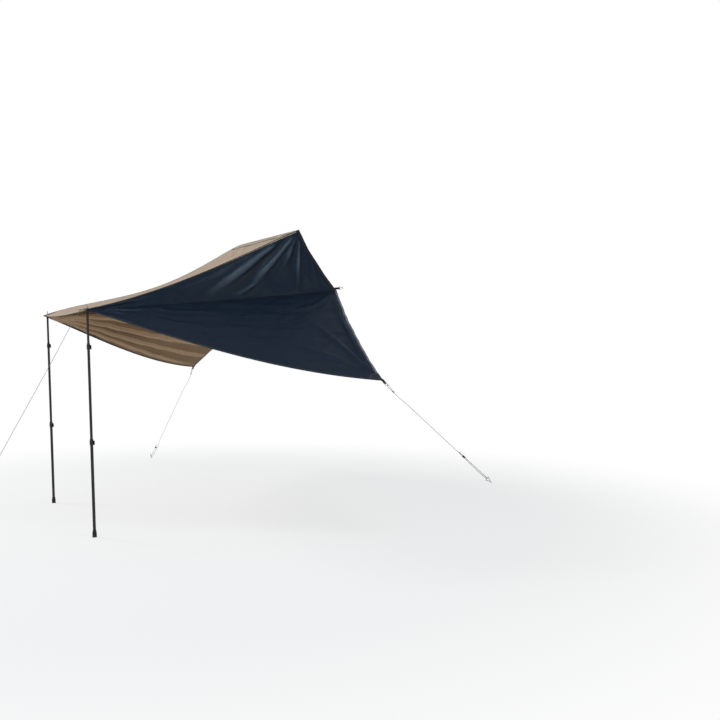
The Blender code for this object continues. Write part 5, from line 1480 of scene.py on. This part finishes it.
def cut_hole(piece, place, normal, radius):
    """A round hole through the cloth at a grommet."""
    cutter = post("hole_cutter", radius, -0.02, 0.02, segments=40)
    cutter.matrix_world = upright(place, normal)
    carve(piece, "DIFFERENCE", cutter)


def named(piece, slot, *nodes):
    """Hide the nodes that a piece stands for and hand the piece back; the slot is not used."""
    if nodes:
        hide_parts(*nodes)
    return piece


def mirror_column(side, column):
    """A column as counted from the side's own low corner."""
    return column if side == "far" else WIDTH - column


def build_trim():
    """Hems, seams, patches and straps; the list of what is sewn to the canopy."""
    front = build_hem("front_hem_piece", "front", RIDGE + 0.2, WIDTH - RIDGE - 0.2, HEM_WIDTH, "tan_webbing")
    sewn = [
        named(front, "tan_webbing", "front_hem"), named(build_band(), "dark_webbing", "header_band"),
        named(build_bead(), "dark_webbing", "header_bead"), named(build_cross_seam(), "tan_webbing"),
    ]
    for side in SIGNS:

        def span(first, last):
            return sorted(mirror_column(side, column) for column in (first, last))

        hems = (
            # The upper side hem's band carries a dark line of painted shadow.
            ("upper_side_hem", "free", *span(RIDGE - 0.3, SEAM + 0.3), SIDE_BAND_WIDTH, "navy_band"),
            # The lower side hem is the navy binding drawn light grey as a painted highlight.
            ("lower_side_hem", "free", *span(SEAM - 0.3, 0.0), HEM_WIDTH, "navy_hem_painted_highlight"),
            ("bottom_hem", side, 4.0, ROWS - 0.5, HEM_WIDTH, "navy_webbing"),
        )
        pieces = [(build_hem(f"{side}_{name}_piece", *hem), "navy_webbing", name) for name, *hem in hems]
        way = -1.0 if side == "far" else 1.0
        line = (mirror_column(side, RIDGE), 0.8, ROWS - 0.4, RIDGE_PROFILE, "ridge_webbing", 0.06, way)
        pieces.append((build_seam(f"{side}_ridge_piping_piece", *line), "tan_webbing", "ridge_piping"))
        line = (mirror_column(side, SEAM), 5.0, ROWS - 0.4, SEAM_PROFILE, "seam_webbing", 0.10)
        pieces.append((build_seam(f"{side}_seam_piping_piece", *line), "navy_webbing", "seam_piping"))
        patch = build_patch(f"{side}_corner_patch_piece", side, *LOW_PATCH, "navy_webbing", upper=False)
        pieces.append((patch, "navy_webbing", "corner_patch"))
        patch = build_patch(f"{side}_pole_patch_piece", side, *POLE_PATCH, "dark_webbing", upper=True)
        cut_hole(patch, *GROMMETS[side], PATCH_HOLE)
        pieces.append((patch, "dark_webbing", "pole_patch"))
        sewn += [named(piece, slot, f"{side}_{node}") for piece, slot, node in pieces]
        sewn += build_webbing(f"{side}_corner_loop", LOOP_WRAP, *span(0, SEAM))
        sewn += build_webbing(f"{side}_edge_strap", HOOK_WRAP, *span(SEAM, RIDGE))
    return sewn


def build_band():
    """The band that is sewn across the roof behind the header bead."""
    points, strips = [], []
    for spot in np.linspace(RIDGE + 0.2, WIDTH - RIDGE - 0.2, 220):
        length = (spot - RIDGE) / (WIDTH - 2 * RIDGE) * 2 * HEADER_END[0]
        for inset, height in BAND_PROFILE:
            point, up = on_cloth(*edge_station("free", spot, inset))
            points.append(point + up * height)
            strips.append((length, inset))
    return lofted("header_band_piece", points, strips, len(BAND_PROFILE), "tan_webbing")


def build_bead():
    """The round bead that slides into the rail, its cord showing at both ends."""
    points = [(x, 0.0, 0.0) for x in np.linspace(-HEADER_END[0], HEADER_END[0], 190)]
    radii = [1.0 + 0.012 * math.sin(index * 1.7) for index in range(190)]
    radii[0], radii[1], radii[-2], radii[-1] = 0.78, 0.97, 0.97, 0.78
    return build_tube("header_bead_piece", points, BEAD_RADIUS, "dark_webbing", sides=24, radii=radii)


def build_cross_seam():
    """The taped seam that runs across the roof near the header, its tape drawn dark as painted shade."""
    points, strips = [], []
    for spot in np.linspace(RIDGE + 0.8, WIDTH - RIDGE - 0.8, 220):
        share = (spot - RIDGE) / (WIDTH - 2 * RIDGE)
        row = ROWS * (1.0 - (0.044 + 0.010 * math.sin(share * math.pi)) ** (1.0 / ROW_POWER))
        space = np.linalg.norm(on_cloth(row + 1, spot)[0] - on_cloth(row, spot)[0])
        for distance, height in TAPE_PROFILE:
            point, up = on_cloth(row + distance / space, spot)
            points.append(point + up * height)
            strips.append((share * 1.55, distance))
    return lofted("roof_cross_seam", points, strips, len(TAPE_PROFILE), "brown_tape")


# The ropes and what is on them

# The ropes' routes from their spigot or ring, round their far ends and back to their runners, in
# tenths of a millimetre
ROPES = {
    "near_pole": tenths(
        (9199, -20974, -8109), (9196, -20905, -8093), (9192, -20837, -8077), (9178, -20761, -8060),
        (9144, -20667, -8039), (9099, -20566, -8017), (9059, -20477, -7998), (9031, -20412, -7984),
        (9008, -20360, -7972), (8985, -20308, -7961), (8969, -20192, -7934), (8971, -20160, -7926),
        (8985, -20131, -7919), (9008, -20108, -7913), (9038, -20094, -7908), (9071, -20092, -7906),
        (9103, -20100, -7907), (9130, -20118, -7910), (9149, -20145, -7916), (9158, -20176, -7923),
        (9183, -20428, -7981), (9208, -20680, -8040), (9211, -20708, -8049), (9213, -20735, -8063),
        (9216, -20759, -8081), (9217, -20780, -8103), (9219, -20796, -8128), (9395, -23374, -12841),
        (9572, -25951, -17554), (9749, -28528, -22267), (9925, -31106, -26980), (9931, -31118, -27002),
        (9944, -31127, -27022), (9965, -31134, -27037), (9989, -31136, -27045), (10015, -31134, -27045),
        (10040, -31128, -27037), (10059, -31119, -27022), (10071, -31107, -27003), (10075, -31094, -26980),
        (10052, -30755, -26360), (10028, -30416, -25739), (10005, -30077, -25119), (9982, -29737, -24499),
    ),
    "near_corner": tenths(
        (24197, 507, -14776), (24147, 481, -14734), (24096, 456, -14692), (24044, 426, -14640),
        (23987, 389, -14567), (23929, 347, -14483), (23879, 311, -14409), (23842, 284, -14354),
        (23814, 263, -14310), (23785, 241, -14265), (23704, 197, -14188), (23683, 188, -14175),
        (23658, 180, -14171), (23633, 176, -14175), (23610, 174, -14187), (23592, 177, -14206),
        (23582, 182, -14229), (23580, 189, -14254), (23586, 199, -14278), (23601, 209, -14297),
        (25534, 1197, -15962), (27468, 2186, -17628), (29401, 3175, -19294), (31334, 4163, -20960),
        (31351, 4177, -20975), (31360, 4196, -20989), (31363, 4220, -20999), (31358, 4245, -21005),
        (31346, 4268, -21005), (31329, 4287, -21000), (31308, 4298, -20990), (31286, 4302, -20976),
        (31266, 4297, -20960), (30766, 4041, -20530), (30266, 3785, -20099), (29766, 3530, -19669),
        (29266, 3274, -19238),
    ),
    "far_corner": tenths(
        (-24302, -134, -14822), (-24247, -130, -14778), (-24192, -126, -14734), (-24134, -123, -14679),
        (-24070, -121, -14603), (-24003, -121, -14515), (-23945, -121, -14438), (-23903, -122, -14381),
        (-23869, -122, -14334), (-23836, -122, -14288), (-23747, -117, -14207), (-23725, -115, -14194),
        (-23699, -111, -14189), (-23674, -105, -14194), (-23652, -100, -14206), (-23636, -94, -14226),
        (-23628, -89, -14250), (-23628, -85, -14276), (-23637, -84, -14300), (-23654, -84, -14320),
        (-27431, -302, -17485), (-31209, -519, -20650), (-34987, -737, -23815), (-38765, -955, -26980),
        (-38784, -961, -26996), (-38800, -975, -27011), (-38812, -995, -27022), (-38817, -1020, -27027),
        (-38816, -1046, -27027), (-38807, -1070, -27022), (-38793, -1089, -27011), (-38775, -1101, -26997),
        (-38755, -1105, -26980), (-38214, -1074, -26526), (-37672, -1042, -26073), (-37130, -1011, -25619),
        (-36588, -980, -25165),
    ),
}


def rounded_line(points, spacing):
    """A route with more points, its straight runs kept straight and its bends rounded."""
    points = np.array(points, dtype=float)
    run = run_of(points)
    tangents = np.gradient(points, run, axis=0)
    line = []
    for index in range(len(points) - 1):
        length = run[index + 1] - run[index]
        count = max(int(length / spacing), 1)
        for share in (step / count for step in range(count)):
            place = points[index] * (2 * share**3 - 3 * share**2 + 1)
            place = place + tangents[index] * (share**3 - 2 * share**2 + share) * length
            place = place + points[index + 1] * (-2 * share**3 + 3 * share**2)
            line.append(place + tangents[index + 1] * (share**3 - share**2) * length)
    line.append(points[-1])
    return np.array(line)


def line_point(line, length):
    """The point of a line at a length along it."""
    run = run_of(line)
    return np.array([np.interp(length, run, line[:, axis]) for axis in range(3)])


def nearest_strand(line, place, skip):
    """The nearest point of a rope to a place, beyond a first length of it."""
    later, found = line[run_of(line) > skip], []
    for first, last in zip(later, later[1:]):
        way = last - first
        share = min(max(float((place - first) @ way) / float(way @ way), 0.0), 1.0)
        found.append(first + way * share)
    return min(found, key=lambda spot: float(np.linalg.norm(place - spot)))


KNOT_SIZE = 0.00165
ROPE_STEP = 0.006
WHIPPING_LENGTH = 0.012


def shape_knot(name, place, along, across):
    """An overhand stopper knot in the rope's tail."""
    side = np.cross(along, across)
    points = []
    for t in (math.tau * step / 96.0 for step in range(97)):
        first = math.sin(t) + 2.0 * math.sin(2.0 * t)
        second = math.cos(t) - 2.0 * math.cos(2.0 * t)
        third = -math.sin(3.0 * t)
        turn = along * (second * KNOT_SIZE) + across * (first * KNOT_SIZE) + side * third * 0.0016
        points.append(place + turn)
    return build_tube(name, points, ROPE_RADIUS * 0.92, "rope", sides=10)


TWINE_PITCH, TWINE_SWELL, TWINE_END = 0.0009, 0.00035, -0.0004


def build_whipping(name, line, start, length, apart, across):
    """Twine wound round two strands of rope that lie side by side."""
    turns, sides = int(length / TWINE_PITCH), 28
    count = turns * 6
    rings, strips = [], []
    for index in range(count + 1):
        share = index / count
        spot = line_point(line, start + length * share)
        ahead = unit(line_point(line, start + length * share + 0.002) - spot)
        wide = unit(across - ahead * float(across @ ahead))
        rise = np.cross(ahead, wide)
        middle = spot + wide * apart / 2.0
        wave = TWINE_SWELL * (0.5 + 0.5 * math.cos(math.tau * share * turns))
        swell = wave if 0 < index < count else TWINE_END
        size = ROPE_RADIUS + TWINE_SWELL + swell
        for angle in (math.tau * turn / sides for turn in range(sides)):
            reach = np.sign(math.cos(angle)) * abs(apart) / 2.0
            rings.append(middle + wide * (reach + math.cos(angle) * size) + rise * math.sin(angle) * size)
            strips.append((length * share, angle * size))
    return lofted(name, rings, strips, sides, "twine")


def build_ropes():
    """The three guy ropes, each with its whipping and its stopper knot."""
    for name, route in ROPES.items():
        line = rounded_line(route, ROPE_STEP)
        rope = build_tube(f"{name}_rope_line", line, ROPE_RADIUS, "rope", sides=16)
        end = np.array(route[-1])
        along = unit(end - np.array(route[-2]))
        knot = shape_knot(f"{name}_knot", end + along * 0.004, along, np.array(RUNNERS[name][1]))
        # The whipping sits where the dead end and the standing rope are nearest
        spots = [line_point(line, length) for length in np.linspace(0.010, 0.050, 21)]
        beside = [nearest_strand(line, spot, skip=0.108) for spot in spots]
        gaps = [float(np.linalg.norm(spot - other)) for spot, other in zip(spots, beside)]
        best = int(np.argmin(gaps))
        start = 0.010 + 0.002 * best - WHIPPING_LENGTH / 2.0
        across = (spots[best] - beside[best]) / gaps[best]
        whipping = build_whipping(f"{name}_whipping", line, start, WHIPPING_LENGTH, -gaps[best], across)
        named(rope, "rope", f"{name}_rope")
        named(knot, "rope")
        named(whipping, "rope")


# Camera, floor and light

SKY_COLOUR, WORLD_LEVEL = (0.86, 0.93, 1.0, 1.0), 0.36
# Each lamp: its place, the point it faces, its size, its power and its colour
LAMPS = {
    "key": ((-5.0, -6.0, 3.5), (0.0, -0.8, -1.2), 2.2, 430.0, (1.0, 0.985, 0.96)),
    "top": ((3.75, -0.7, 3.0), (0.8, -0.5, -0.4), 1.2, 62.0, (0.88, 0.94, 1.0)),
    "fill": ((5.2, -6.9, 0.8), (0.8, -0.5, -0.6), 2.2, 88.0, (0.84, 0.93, 1.0)),
    "warm": ((7.2, 3.6, -1.4), (0.0, -1.0, -1.0), 2.8, 84.0, (1.0, 0.82, 0.68)),
}
FLOOR_REACH = 60.0


def place_camera():
    """The camera at the photograph's viewing angle."""
    camera = bpy.data.cameras.new("camera")
    camera.lens, camera.sensor_width, camera.sensor_fit, camera.clip_end = 43.86, 36.0, "AUTO", 200.0
    holder = add_object("camera", camera)
    holder.location = (8.3817, -3.6417, -1.082)
    holder.rotation_euler = (math.radians(90.0 - 1.109), 0.0, math.radians(60.489))
    bpy.context.scene.camera = holder


def add_light(name, place, aim, size, power, colour):
    """A soft square lamp that faces a point."""
    lamp = bpy.data.lights.new(name, "AREA")
    lamp.shape, lamp.size, lamp.energy, lamp.color = "SQUARE", size, power, colour
    holder = add_object(name, lamp)
    holder.location = place
    holder.rotation_euler = (Vector(aim) - Vector(place)).to_track_quat("-Z", "Y").to_euler()


def build_floor():
    """A plain pale floor that fades into white."""
    mesh = bpy.data.meshes.new("floor")
    spots = [(x * FLOOR_REACH, y * FLOOR_REACH, GROUND) for x, y in ((-1, -1), (1, -1), (1, 1), (-1, 1))]
    mesh.from_pydata(spots, [], [[0, 1, 2, 3]])
    finish = Finish("studio_floor", Roughness=0.85)
    finish.shader.inputs["Base Color"].default_value = (0.80, 0.80, 0.80, 1.0)
    seen = Wire(finish, finish.node("ShaderNodeLightPath").outputs["Is Camera Ray"])
    across, along = finish.number(finish.place(), 0) - 0.3, finish.number(finish.place(), 1) + 1.2
    far = ((across * across + along * along) ** 0.5).step(3.2, 6.5)
    glow = finish.node("ShaderNodeEmission", None, {"Color": WHITE, "Strength": 1.0})
    blend = finish.node("ShaderNodeMixShader")
    finish.feed(blend.inputs[0], seen * (far * 0.30 + 0.70))
    finish.feed(blend.inputs[1], finish.shader.outputs[0])
    finish.feed(blend.inputs[2], glow.outputs[0])
    finish.tree.links.new(blend.outputs[0], finish.tree.nodes["Material Output"].inputs["Surface"])
    mesh.materials.append(finish.material)
    add_object("floor", mesh)


def build_world():
    """White behind the object, and a soft bluish light from all round."""
    world = bpy.data.worlds.new("studio")
    bpy.context.scene.world = world
    world.use_nodes = True
    tree = world.node_tree
    blend, path, white = (
        tree.nodes.new(f"ShaderNode{kind}") for kind in ("MixShader", "LightPath", "Background")
    )
    plain = tree.nodes["Background"]
    plain.inputs[0].default_value, plain.inputs[1].default_value = SKY_COLOUR, WORLD_LEVEL
    white.inputs[0].default_value, white.inputs[1].default_value = WHITE, 1.0
    tree.links.new(path.outputs["Is Camera Ray"], blend.inputs[0])
    tree.links.new(plain.outputs[0], blend.inputs[1])
    tree.links.new(white.outputs[0], blend.inputs[2])
    tree.links.new(blend.outputs[0], tree.nodes["World Output"].inputs["Surface"])


place_camera()
canopy = build_canopy()
for side in SIGNS:
    cut_hole(canopy, *GROMMETS[side], CLOTH_HOLE)
wings = [f"{side}_{part}_wing" for side in SIGNS for part in PANELS]
named(canopy, "wing_cloth", "roof_panel", *wings)
sewn = build_trim()
build_poles()
build_fittings()
build_ropes()
build_floor()
build_world()
for name, lamp in LAMPS.items():
    add_light(name, *lamp)
bpy.context.scene.view_settings.view_transform = "Standard"
